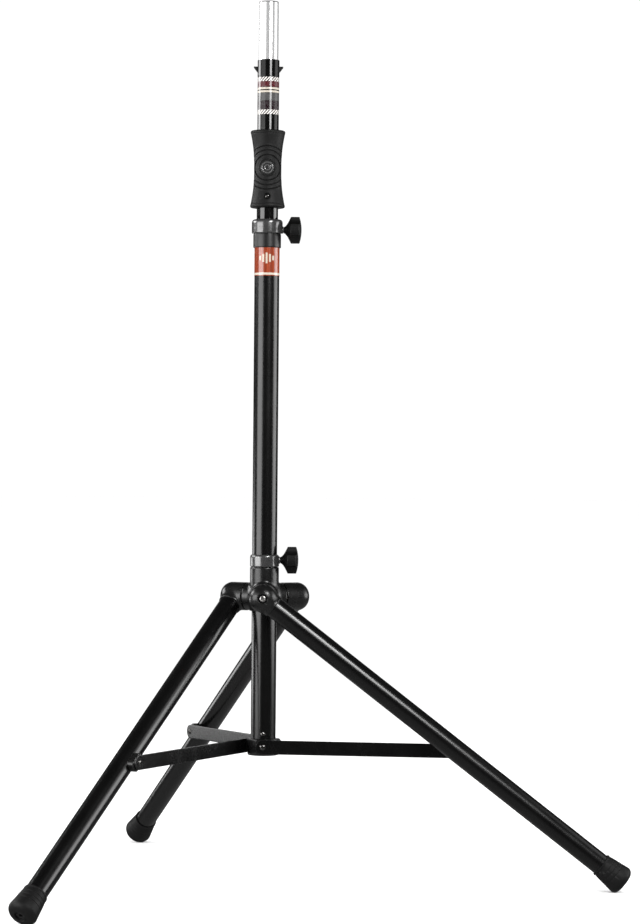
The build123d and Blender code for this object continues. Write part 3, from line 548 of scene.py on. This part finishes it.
def base_piece():
    """Base casting with a seat for each strut."""
    low, high = span("base_fitting")
    flange_top = span("outer_tube")[0].z
    seat = -strut_pivot.y - 0.3
    flange_r = 27.6
    plug = radius_of("outer_tube") - 2.02

    def depth(p):
        radial = np.hypot(p[..., 0], p[..., 1])
        body = meet(radial - flange_r, p[..., 2] - flange_top, 1.6)
        for leg in LEGS:
            out = turn(leg).to_3x3() @ SOUTH
            across = turn(leg).to_3x3() @ EAST
            along, side = p @ np.array(out), p @ np.array(across)
            corner = np.maximum(np.abs(side) - 9.5, 0), np.maximum(np.abs(p[..., 2] - strut_pivot.z) - 9, 0)
            pad = np.hypot(*corner) - 3.0
            pad = meet(meet(pad, along - seat, 1.0), -along, 1.0)
            body = join(body, pad, 1.5)
        body = meet(body, low.z - p[..., 2], 2.4)
        inner = meet(radial - plug, p[..., 2] - high.z, 1.0)
        inner = meet(inner, flange_top - 4 - p[..., 2], 1.0)
        return np.minimum(body, inner)

    reach = flange_r + 2
    shape = cast(depth, (-reach, -reach, low.z), (reach, reach, high.z), 0.75)
    piece("base_casting", shape, cast_black, "mast", "black_casting", "base_fitting")


def button_head(radius, high, socket, shank_r, shank):
    """Domed screw head with a hex socket, its seat at Z 0 and its shank below."""
    profile = [(0, -shank), (shank_r - 0.3, -shank), (shank_r, -shank + 0.3), (shank_r, 0), (radius - 0.2, 0),
               (radius, 0.25)]
    for k in range(1, 9):
        angle = radians(90 * k / 8 * 0.8)
        profile.append((radius * cos(angle), 0.25 + (high - 0.25) * sin(angle) / sin(radians(72))))
    profile += [(socket / 2 + 0.35, high), (socket / 2, high - 0.15, "hex"),
                (socket / 2, high * 0.35, "hex"), (socket / 4, high * 0.28), (0, high * 0.25)]
    return turned(profile, 60)


def around_legs(shape, direction, origin):
    """The shape at one place on leg 1 and at the same place on the other two."""
    place = facing(direction, origin)
    return placed(shape, *[turn(leg) @ place for leg in LEGS])


def base_fasteners():
    """Screws through the tube's foot and bolts through the struts' inner ends."""
    tube_r = radius_of("outer_tube")
    screw_z = middle("base_screws").z
    head = button_head(4.0, 2.0, 2.6, 1.95, 8)
    piece("base_tube_screws", around_legs(head, SOUTH, Vector((0, -tube_r - 0.05, screw_z))),
          dark_steel, "mast", "steel", "base_screws")
    seat = -strut_pivot.y + 3 + 0.3
    bolt = button_head(5.4, 2.3, 3.4, 2.95, 16)
    piece("strut_inner_bolts", around_legs(bolt, SOUTH, Vector((0, -seat, strut_pivot.z))),
          dark_steel, "mast", "steel", "strut_base_bolts")


CLAMP_PLAY = 0.4                        # radial play of a clamp ring on its tube


def clamp_pieces():
    """Upper and lower clamp rings, blended into the boss that takes the knob's stud."""
    for name, node, knob, body, shoulder in (
            ("upper_clamp", "upper_clamp_ring", "upper_knob", "mast", 7.0),
            ("hub_clamp", "hub_clamp_ring", "lower_knob", "hub", 6.0)):
        low, high = span(node)
        outer = (high.y - low.y) / 2
        bore = radius_of({"mast": "inner_tube", "hub": "outer_tube"}[body]) + CLAMP_PLAY
        boss_z = middle(knob).z
        boss_end = high.x

        def depth(p):
            radial = np.hypot(p[..., 0], p[..., 1])
            band = meet(radial - outer, p[..., 2] - high.z, shoulder)
            off, along = rod(p, (0, 0, boss_z), EAST)
            boss = meet(meet(off - 6.2, along - boss_end, 0.8), bore - along, 0.5)
            whole = join(band, boss, 1.6)
            whole = meet(whole, low.z - p[..., 2], 1.6)
            whole = meet(whole, bore - radial, 0.8)
            stud = np.maximum(off - 4.05, -along)
            whole = np.maximum(whole, -stud)
            return whole

        shape = cast(depth, (-outer, -outer, low.z), (boss_end, outer, high.z), 0.6)
        piece(name, shape, clamp_metal, body, "clamp_metal", node)


# ---- inner mast ----

def inner_pieces():
    """Inner tube, label, sleeve, spigot and its cap."""
    piece("mast_inner", tube("inner_tube", 0.4, 1.5), gloss_black, "inner_mast", "black_paint", "inner_tube")
    piece("mast_label", tube("caution_label", 0.06, 0.2), label_film, "inner_mast", "label_film",
          "caution_label")
    spigot = piece("speaker_spigot", tube("spigot", 0.4, 2.0), satin_chrome, "inner_mast", "chrome", "spigot")
    low, high = span("catch_right")
    centre_z = (low.z + high.z) / 2
    half_wide, half_high, reach = 4.4, 5.4, 30
    slab = prism([(-half_wide, -half_high), (half_wide, -half_high), (half_wide, half_high),
                  (-half_wide, half_high)], 2 * reach, 0.0)
    window = placed(slab, facing(EAST, Vector((-reach, 0, centre_z))))
    cut(spigot, window)
    sleeve_low, sleeve_high = span("adapter_sleeve")
    sleeve_r = radius_of("adapter_sleeve")
    bore = radius_of("spigot") + 0.02
    corners = [(sleeve_r, sleeve_low.z, 0.3), (sleeve_r, sleeve_high.z, 1.2),
               (bore, sleeve_high.z, 0.3), (bore, sleeve_low.z, 0.3)]
    sleeve = piece("spigot_sleeve", turned(rounded(corners, 5), closed=True), sleeve_plastic,
                   "inner_mast", "black_plastic", "adapter_sleeve")
    cut(sleeve, window)
    cap_low, cap_high = span("spigot_cap")
    cap_r = radius_of("spigot_cap")
    seat = cap_high.z - 1.5
    plug = radius_of("spigot") - 2.1
    corners = [(0, cap_low.z, 0), (plug, cap_low.z, 1.0), (plug, seat, 0), (cap_r, seat, 0.1),
               (cap_r, cap_high.z, 1.0), (cap_r - 5, cap_high.z, 0.4), (cap_r - 6, cap_high.z - 0.6, 0.4),
               (0, cap_high.z - 0.6, 0)]
    piece("spigot_end_cap", turned(rounded(corners, 5, closed=False)), black_plastic, "inner_mast",
          "black_plastic", "spigot_cap")


def catch_pieces():
    """Sprung catches: wedges with softened edges."""
    for side, name in ((1, "catch_right"), (-1, "catch_left")):
        low, high = span(name)
        flange_high = (high.z - low.z) / 2
        centre_z = (low.z + high.z) / 2
        inner, outer = (low.x, high.x) if side > 0 else (-high.x, -low.x)

        def depth(p):
            out = p[..., 0] * side
            tall = p[..., 2] - centre_z
            wide = np.abs(p[..., 1])
            slope = ((out - outer) * 0.8 - (tall - 3.4) * 0.6)
            wedge = meet(meet(np.abs(tall) - 5, wide - 4, 0.7), meet(out - outer, slope, 0.6), 0.7)
            wedge = meet(wedge, inner - out, 0.5)
            flange = np.maximum(np.abs(tall) - flange_high, wide - 6)
            flange = np.maximum(flange, np.abs(out - inner - 1.1) - 1.1)
            return np.minimum(wedge, flange)

        shape = cast(depth, (low.x, low.y, low.z), (high.x, high.y, high.z), 0.4)
        piece(name + "_tab", shape, black_plastic, name, "black_plastic", name)


SPRING_WIRE_R = 0.45
SPRING_TURNS = 3.5                      # in each half


def coil(reach, turns, radius, wire, place):
    """Closed mesh of a coil of wire that runs from place's origin along its Z axis."""
    rings_per_turn, sides = 24, 10
    rings = int(turns * rings_per_turn)
    points = []
    for ring in range(rings + 1):
        turned_by = 2 * pi * turns * ring / rings
        for side in range(sides):
            angle = 2 * pi * side / sides
            out = radius + wire * cos(angle)
            height = reach * ring / rings + wire * sin(angle)
            points.append((out * cos(turned_by), out * sin(turned_by), height))
    faces = [[ring * sides + side, ring * sides + (side + 1) % sides,
              (ring + 1) * sides + (side + 1) % sides, (ring + 1) * sides + side]
             for ring in range(rings) for side in range(sides)]
    faces += [list(range(sides)), list(range(rings * sides, (rings + 1) * sides))]
    return placed((points, faces), place)


def spring_pieces():
    """The catches' spring in two halves, one from the middle out towards each catch, each with a mesh of its
    own; both ride on the inner mast.
    """
    low, high = span("catch_spring")
    centre = Vector((0, 0, (low.z + high.z) / 2))
    reach, radius = high.x - SPRING_WIRE_R, (high.z - low.z) / 2 - SPRING_WIRE_R
    for side, name in ((1, "right"), (-1, "left")):
        shape = coil(reach, SPRING_TURNS, radius, SPRING_WIRE_R, facing(EAST * side, centre))
        half = piece(f"catch_spring_{name}", shape, zinc_steel, "inner_mast", "steel", "catch_spring")
        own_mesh(half)


GROOVES = (22.5, 30.6, 38.2)            # radii of the rings moulded round the badge, as seen from the front
GRIP_CORNER = 4.0                       # roundness of the ends' rims
GRIP_FLARE = 2.2                        # how late the waist flares out to the ends


def grip_pieces():
    """Two rubber halves with moulded rings, the badge and the screws."""
    low, high = span("grip_rear")
    end_r, bottom, top = high.y, low.z, high.z
    mid, half = (bottom + top) / 2, (top - bottom) / 2
    waist = 24.0
    bore = radius_of("inner_tube") + 0.02
    badge_z = middle("grip_badge").z
    badge_face = -span("grip_badge")[1].y
    screw_z = middle("grip_screws").z
    seat = 23.0

    for side, name in ((-1, "front"), (1, "rear")):
        def depth(p):
            x, y, z = p[..., 0], p[..., 1], p[..., 2]
            radial = np.hypot(x, y)
            share = np.clip(np.abs(z - mid) / (half * 0.96), 0, 1)
            outer = waist + (end_r - waist) * share ** GRIP_FLARE
            ring_r = np.hypot(x, z - badge_z)
            front = np.clip(side * y / 8, 0, 1)
            band = np.clip((ring_r - GROOVES[0]) / 1.0, 0, 1) * np.clip((GROOVES[2] - ring_r) / 1.0, 0, 1)
            relief = 0.55 * band
            for groove in GROOVES:
                relief = relief - 0.95 * np.exp(-((ring_r - groove) / 0.75) ** 2)
                relief = relief + 0.35 * np.exp(-((ring_r - groove - 1.9) / 1.1) ** 2)
            for lip in (bottom + 7.0, top - 6.0):
                relief = relief - 0.45 * np.exp(-((z - lip) / 0.6) ** 2)
            outer = outer + relief * front
            body = meet(radial - outer, np.abs(z - mid) - half, GRIP_CORNER)
            if side < 0:
                dish = np.maximum(ring_r - 14.2, side * y - 40)
                rim = meet(ring_r - 15.0, side * y - badge_face - 0.9, 1.0)
                body = join(body, np.maximum(rim, -side * y), 2.0)
                body = meet(body, -np.maximum(dish, badge_face - side * y), 0.5)
            hole = np.maximum(np.hypot(x, z - screw_z) - 6.0, seat - side * y)
            body = meet(body, -hole, 0.8)
            body = meet(body, bore - radial, 0.5)
            return meet(body, 0.12 - side * y, 0.8)

        corner_a = (-end_r - 2, min(side * (end_r + 2), 0), bottom)
        corner_b = (end_r + 2, max(side * (end_r + 2), 0), top)
        shape = cast(depth, corner_a, corner_b, 0.62)
        piece(f"grip_{name}_half", shape, black_rubber, "inner_mast", "black_rubber", f"grip_{name}")

    screw = button_head(4.0, 2.4, 2.8, 1.95, 7)
    places = [facing(SOUTH * -side, Vector((0, side * seat, screw_z))) for side in (-1, 1)]
    piece("grip_half_screws", placed(screw, *places), dark_steel, "inner_mast", "steel", "grip_screws")
    badge_low, badge_high = span("grip_badge")
    radius = (badge_high.x - badge_low.x) / 2
    back, face = -badge_high.y, -badge_low.y
    corners = [(0, back, 0), (radius, back, 0.1), (radius, face, 0.4), (0, face, 0)]
    disc = turned(rounded(corners, 4, closed=False))
    piece("badge_disc", placed(disc, facing(SOUTH, Vector((0, 0, badge_z)))), black_plastic, "inner_mast",
          "silver_badge", "grip_badge")
    shapes = []
    for inner, outer in ((8.2, 10.6), (3.4, 5.6)):
        corners = [(inner, face - 0.2, 0), (outer, face - 0.2, 0), (outer, face + 0.35, 0.25),
                   (inner, face + 0.35, 0.25)]
        shapes.append(placed(turned(rounded(corners, 4), 72, True), facing(SOUTH, Vector((0, 0, badge_z)))))
    piece("badge_rings", together(*shapes), badge_silver, "inner_mast", "silver_badge")


# ---- hub ----

HUB_BORE_R = 23.4
ARM_R = 25.0
ARM_END = 33.2


def hub_piece():
    """Cast sleeve with three arms that grow out of it in fillets."""
    low, high = span("hub_casting")
    sleeve_r = 25.7
    arms = [turn(leg).to_3x3() @ SOUTH for leg in LEGS]

    def depth(p):
        radial = np.hypot(p[..., 0], p[..., 1])
        body = meet(radial - sleeve_r, p[..., 2] - high.z, 4.0)
        for out in arms:
            off, along = rod(p, (0, 0, hinge.z), out)
            arm = meet(meet(off - ARM_R, along - ARM_END, 2.2), -along, 1.0)
            body = join(body, arm, 6.0)
        body = meet(body, low.z - p[..., 2], 2.4)
        body = meet(body, HUB_BORE_R - radial, 1.0)
        for out in arms:
            off, along = rod(p, (0, 0, hinge.z), out)
            body = np.maximum(body, -np.maximum(off - 5.01, -along))
        return body

    reach = ARM_END + 12
    shape = cast(depth, (-reach, -reach, low.z), (reach, reach, high.z), 0.8)
    piece("hub_body", shape, cast_black, "hub", "black_casting", "hub_casting")


def hub_fasteners():
    """Hinge bolts with hex sockets and the grub screw of the hub's ring."""
    head_seat = 77.3
    profile = [(0, -53), (4.6, -53), (5.0, -52.4), (5.0, 0), (6.2, 0), (6.5, 0.4), (6.5, 3.2), (6.2, 4.4),
               (5.6, 5.3), (4.8, 5.8), (4.0, 6.0), (3.4, 5.4, "hex"), (3.4, 2.4, "hex"), (1.5, 2.2), (0, 2.0)]
    shape = around_legs(turned(profile, 60), SOUTH, Vector((0, -head_seat, hinge.z)))
    piece("hinge_shoulder_bolts", shape, zinc_steel, "hub", "steel", "hinge_bolts")
    low, high = span("hub_grub_screw")
    place = middle("hub_grub_screw")
    out = Vector((place.x, place.y, 0)).normalized()
    profile = [(0, -1.2), (1.7, -1.2), (2.0, -0.9), (2.0, 0.9), (1.7, 1.2), (1.2, 1.2), (1.0, 1.1, "hex"),
               (1.0, 0, "hex"), (0, -0.1)]
    piece("hub_ring_grub", placed(turned(profile, 36), facing(out, place)), dark_steel, "hub", "steel",
          "hub_grub_screw")


# ---- knobs ----

LOBES = 4                               # of each knob
VALLEY_OUT = 31.9                       # the circles that cut the valleys: centre and radius
VALLEY_R = 13.0
RIBS = 72
FLARE = 1.6                             # 1 is a straight cone from the neck to the rim


def knob_pieces():
    """Lobed knobs that flare from a narrow neck to a ribbed rim and a domed face."""
    for name, body in (("upper_knob", "upper_knob"), ("lower_knob", "lower_knob")):
        low, high = span(name)
        radius = (high.z - low.z) / 2
        neck_x, crown_x = low.x, high.x
        face = crown_x - neck_x - 3.6
        rim = face - 15.5

        def lobed(reach, height, angle):
            off = (angle - pi / LOBES) % (2 * pi / LOBES)
            off = min(off, 2 * pi / LOBES - off)
            limit = radius
            if VALLEY_OUT * sin(off) < VALLEY_R:
                half_chord = (VALLEY_R ** 2 - (VALLEY_OUT * sin(off)) ** 2) ** 0.5
                limit = min(limit, VALLEY_OUT * cos(off) - half_chord)
            if reach > radius * 0.93 and rim + 1 < height < face - 0.6 and limit > radius - 2.0:
                reach -= 0.45 * (0.5 + 0.5 * cos(RIBS * angle))
            return float(join(np.array(reach), np.array(limit), 2.6))

        profile = [(0, 0), (5.2, 0), (5.8, 0.6)]
        for k in range(1, 19):
            share = k / 18
            profile.append((5.8 + (radius - 6.4) * share ** FLARE, 0.6 + (rim - 0.6) * share))
        profile += [(radius, rim + 0.7)]
        profile += [(radius, rim + 0.7 + (face - rim - 1.6) * k / 12) for k in range(1, 13)]
        profile += [(radius - 0.5, face - 0.35), (radius - 1.3, face)]
        for k in range(1, 15):
            share = k / 14
            profile.append(((radius - 1.3) * (1 - share), face + 3.6 * (1 - (1 - share) ** 2)))
        shape = turned(profile, 288, warp=lobed)
        place = facing(EAST, Vector((neck_x, 0, (low.z + high.z) / 2)))
        piece(name + "_moulding", placed(shape, place), knob_rubber, body, "black_rubber", name)


# ---- legs ----

COLLAR_R = 21.0                         # of the knuckle, round the tube
KNUCKLE_FILLET = 20.0
RECESS_R = 8.2                          # of the bolt head's recess


def leg_shapes():
    """{piece: (shape of leg 1, material, slot, CAD node)} of what rides on a leg."""
    tube_low, tube_high = span("leg_1_tube")
    radius = (tube_high.y - tube_low.y) / 2
    fall, run = -leg_down.z, leg_down.x
    start = (tube_low.x + radius * fall) / run
    end = (tube_high.x - radius * fall) / run
    knuckle_low, knuckle_high = span("leg_1_knuckle")
    inner = knuckle_high.y - hinge.y
    outer = knuckle_low.y - hinge.y
    local_low, local_high = -inner, -outer
    boss_r = ARM_R
    recess_floor = local_high - 9.0

    def knuckle(p):
        off = np.hypot(p[..., 0], p[..., 1])
        z = p[..., 2]
        corner_off = np.maximum(off - (boss_r - KNUCKLE_FILLET), 0)
        corner_z = np.maximum(z - (local_high - KNUCKLE_FILLET), 0)
        dome = np.hypot(corner_off, corner_z) - KNUCKLE_FILLET
        boss = meet(dome, local_low - z, 1.4)
        ring = np.hypot(p[..., 1], z)
        collar = meet(meet(ring - COLLAR_R, p[..., 0] - start, 1.4), -p[..., 0], 1.0)
        whole = join(boss, collar, 4.0)
        whole = meet(whole, local_low - z, 1.4)
        recess = np.maximum(off - RECESS_R, recess_floor - z)
        whole = meet(whole, -recess, 1.2)
        plug = np.maximum(np.maximum(ring - (radius - 1.52), p[..., 0] - start - 38), -p[..., 0])
        whole = np.minimum(whole, plug)
        return np.maximum(whole, 5.05 - off)

    low = (-boss_r - 2, -boss_r - 2, local_low)
    high = (start + 38, boss_r + 2, local_high)
    elbow = placed(cast(knuckle, low, high, 0.8), LEG)
    corners = [(radius, start, 0.3), (radius, end, 0.4), (radius - 1.5, end, 0.4), (radius - 1.5, start, 0.3)]
    pipe = placed(turned(rounded(corners, 3), closed=True), LEG_AXIS)
    foot = placed(turned(foot_profile(end, radius), 128, True), LEG_AXIS)
    bracket_low, bracket_high = span("leg_1_bracket")
    along = (strut_end - hinge).dot(leg_down)
    face = -bracket_high.y + hinge.y
    back = -bracket_low.y + hinge.y

    def bracket(p):
        corner = np.maximum(np.abs(p[..., 0] - along) - 8, 0), np.maximum(np.abs(p[..., 1]) - 3, 0)
        pad = np.hypot(*corner) - 8
        pad = meet(meet(pad, face - p[..., 2], 1.2), p[..., 2] - back, 0.6)
        return np.maximum(pad, radius + 0.02 - np.hypot(p[..., 1], p[..., 2]))

    saddle = cast(bracket, (along - 16, -11, face), (along + 16, 11, back), 0.6)
    return {
        "elbow": (elbow, cast_black, "black_casting", "knuckle"),
        "pipe": (pipe, paint_black, "black_paint", "tube"),
        "boot": (foot, black_rubber, "black_rubber", "foot"),
        "saddle": (placed(saddle, LEG), cast_black, "black_casting", "bracket"),
    }


FOOT_CORNER = 12.0
FOOT_LIP = 21.4


def foot_profile(tube_end, tube_r):
    """Rubber boot: a lip at its mouth, a flare with shallow ribs, and a rounded end with a recess."""
    low, high = span("leg_1_foot")
    big = (high.y - low.y) / 2
    end = tube_end + 12.0
    mouth = end - 53.0
    widest = end - FOOT_CORNER
    bore = tube_r + 0.03
    corners = [(bore, mouth, 0.4), (FOOT_LIP, mouth, 0.7), (FOOT_LIP, mouth + 2.8, 0.4),
               (FOOT_LIP - 0.8, mouth + 3.5, 0.3)]
    for k in range(3):
        at = mouth + 12 + 8 * k
        skin = FOOT_LIP - 0.5 + (big - FOOT_LIP) * (at - mouth) / (widest - mouth)
        corners += [(skin, at, 0.4), (skin - 0.6, at + 0.8, 0.3), (skin + 0.1, at + 1.6, 0.4)]
    for k in range(13):
        angle = radians(8 + 82 * k / 12)
        corners.append((big - FOOT_CORNER * (1 - cos(angle)), widest + FOOT_CORNER * sin(angle), 0))
    corners += [(10.4, end, 0.8), (9.4, end - 3, 0.6), (4, end - 3, 0), (4, tube_end, 0),
                (bore, tube_end, 0.2)]
    return rounded(corners, 6)


def leg_pieces():
    """The three legs, each made from leg 1's shapes."""
    shapes = leg_shapes()
    for leg in LEGS:
        for name, (shape, material, slot, node) in shapes.items():
            piece(f"leg_{leg}_{name}", placed(shape, turn(leg)), material, f"leg_{leg}", slot,
                  f"leg_{leg}_{node}")


STRUT_HIGH = 25.0
STRUT_THICK = 3.0


def strut_pieces():
    """Flat struts with softened edges, and their outer bolts."""
    along = strut_end - strut_pivot
    along.y = 0
    length = along.length
    outline = []
    for centre, start in ((length, -90), (0, 90)):
        for k in range(25):
            angle = radians(start + 180 * k / 24)
            outline.append((centre + STRUT_HIGH / 2 * cos(angle), STRUT_HIGH / 2 * sin(angle)))
    x_axis = along.normalized()
    axes = (x_axis, SOUTH.cross(x_axis), SOUTH)
    place = Matrix.Translation(strut_pivot) @ Matrix(axes).transposed().to_4x4()
    bar = placed(prism(outline, STRUT_THICK, 0.6), place)
    head = button_head(5.2, 2.3, 3.4, 2.95, 3)
    bolt = placed(head, facing(-SOUTH, strut_pivot + along))
    for leg in LEGS:
        piece(f"strut_{leg}_bar", placed(bar, turn(leg)), strut_black, f"strut_{leg}", "black_strut",
              f"strut_{leg}")
        piece(f"strut_{leg}_outer_bolt", placed(bolt, turn(leg)), dark_steel, f"strut_{leg}", "steel",
              f"strut_{leg}_bolt")


def dress_cad():
    """Finishes of the CAD nodes that show as they are."""
    finishes = {
        nylon: ("upper_bush", "hub_bushes", "inner_tube_guide", "hinge_washers"),
        brass: ("upper_brake_pad", "hub_brake_pad"),
        zinc_steel: ("gas_spring_gland", "gas_spring_piston", "rod_end", "cross_pin",
                     "upper_knob_stud", "lower_knob_stud"),
        polished_steel: ("gas_spring_rod",),
        paint_black: ("gas_spring_cylinder",),
    }
    for material, nodes in finishes.items():
        for node in nodes:
            data = frame["nodes"][node].data
            data.materials.clear()
            data.materials.append(material)


# ---- floor, light and camera ----

REACH = 3.3                             # metres from the mast to each light
FILL = 1.18                             # makes the floor just white
BACKDROP = 1.05
ROOM_BELOW, ROOM_ABOVE = 0.28, 0.04     # what reflections see of the room, low down and higher up
LENS, SENSOR = 117.57, 36.0             # mm
CAMERA_AT = (0.1731, -5.3529, 0.7482)
CAMERA_LOOKS = (-0.01422, 0.9999, 0.0002)
CAMERA_ROLL = -0.468                    # degrees
LIGHTS = (                              # name, azimuths in degrees, heights in metres, radiance
    ("left_front", (-79, -31), (0.02, 1.62), 5.5),
    ("left_high", (-79, -31), (1.62, 2.8), 1.25),
    ("left_side", (-124, -89), (1.55, 2.8), 8.0),
    ("left_low", (-138, -108), (0.03, 0.6), 4.0),
    ("front_strip", (17, 36), (1.68, 2.5), 14.0),
    ("front_high", (27, 39), (2.5, 3.3), 40.0),
    ("right_side", (74, 113), (0.2, 1.62), 5.0),
    ("right_high", (74, 113), (1.62, 2.8), 1.3),
    ("back", (160, 200), (0.2, 2.2), 0.6))


def floor():
    """Plain pale floor."""
    size = 60
    mesh = bpy.data.meshes.new("floor")
    corners = [(-size, -size, 0), (size, -size, 0), (size, size, 0), (-size, size, 0)]
    mesh.from_pydata(corners, [], [(0, 1, 2, 3)])
    ground = bpy.data.objects.new("floor", mesh)
    bpy.context.scene.collection.objects.link(ground)
    mesh.materials.append(finish_of("floor_white", grey(0.86), grey(0.88), (0.7, 0.8), 40, 0.01, mottle=0.8,
                                     specular=0.0))
    ground.visible_glossy = False


def softbox(name, azimuths, heights, radiance):
    """Upright area light that faces the mast, between two azimuths in degrees and two heights in metres.

    Azimuth 0 is the camera's side and 90 is +X.
    """
    start, stop = azimuths
    low, high = heights
    width = 2 * REACH * tan(radians(stop - start) / 2)
    data = bpy.data.lights.new(name, "AREA")
    data.shape = "RECTANGLE"
    data.size, data.size_y = width, high - low
    data.energy = radiance * pi * width * (high - low)
    lamp = bpy.data.objects.new(name, data)
    bpy.context.scene.collection.objects.link(lamp)
    middle_of = radians((start + stop) / 2)
    out = Vector((sin(middle_of), -cos(middle_of), 0))
    lamp.location = out * REACH + UP * (low + high) / 2
    lamp.rotation_mode = "QUATERNION"
    lamp.rotation_quaternion = out.to_track_quat("Z", "Y")


def world():
    """White backdrop that lights the floor and matt surfaces, and a dark room for reflections."""
    made = bpy.data.worlds.new("studio")
    made.use_nodes = True
    bpy.context.scene.world = made
    tree = made.node_tree
    tree.nodes.clear()
    ray = add(tree, "LightPath").outputs
    height = add(tree, "SeparateXYZ", Vector=add(tree, "TexCoord").outputs["Generated"]).outputs[2]
    room = add(tree, "MapRange", Value=height, From_Min=-0.5, From_Max=-0.1,
               To_Min=ROOM_BELOW, To_Max=ROOM_ABOVE).outputs[0]
    dark = add(tree, "Background", Color=(1, 1, 1, 1), Strength=room).outputs[0]
    fill = add(tree, "Background", Color=(1, 1, 1, 1), Strength=FILL).outputs[0]
    back = add(tree, "Background", Color=(1, 1, 1, 1), Strength=BACKDROP).outputs[0]
    lit = add(tree, "MixShader", Fac=ray["Is Diffuse Ray"], _1=dark, _2=fill).outputs[0]
    mix = add(tree, "MixShader", Fac=ray["Is Camera Ray"], _1=lit, _2=back).outputs[0]
    add(tree, "OutputWorld", Surface=mix)


def camera():
    """Camera level with the middle of the mast, a little to the right of it, with a long lens."""
    data = bpy.data.cameras.new("camera")
    data.lens, data.sensor_width = LENS, SENSOR
    made = bpy.data.objects.new("camera", data)
    bpy.context.scene.collection.objects.link(made)
    forward = Vector(CAMERA_LOOKS).normalized()
    level = forward.cross(UP).normalized()
    tilt = Matrix.Rotation(radians(CAMERA_ROLL), 3, forward)
    right = tilt @ level
    if right.z < 0:
        right = tilt.inverted() @ level
    made.matrix_world = Matrix.Translation(CAMERA_AT) @ Matrix(
        (right, right.cross(forward), -forward)).transposed().to_4x4()
    bpy.context.scene.camera = made


mast_pieces()
base_piece()
base_fasteners()
clamp_pieces()
inner_pieces()
catch_pieces()
spring_pieces()
grip_pieces()
hub_piece()
hub_fasteners()
knob_pieces()
leg_pieces()
strut_pieces()
dress_cad()
floor()
world()
for light in LIGHTS:
    softbox(*light)
camera()
bpy.context.scene.view_settings.view_transform = "Standard"
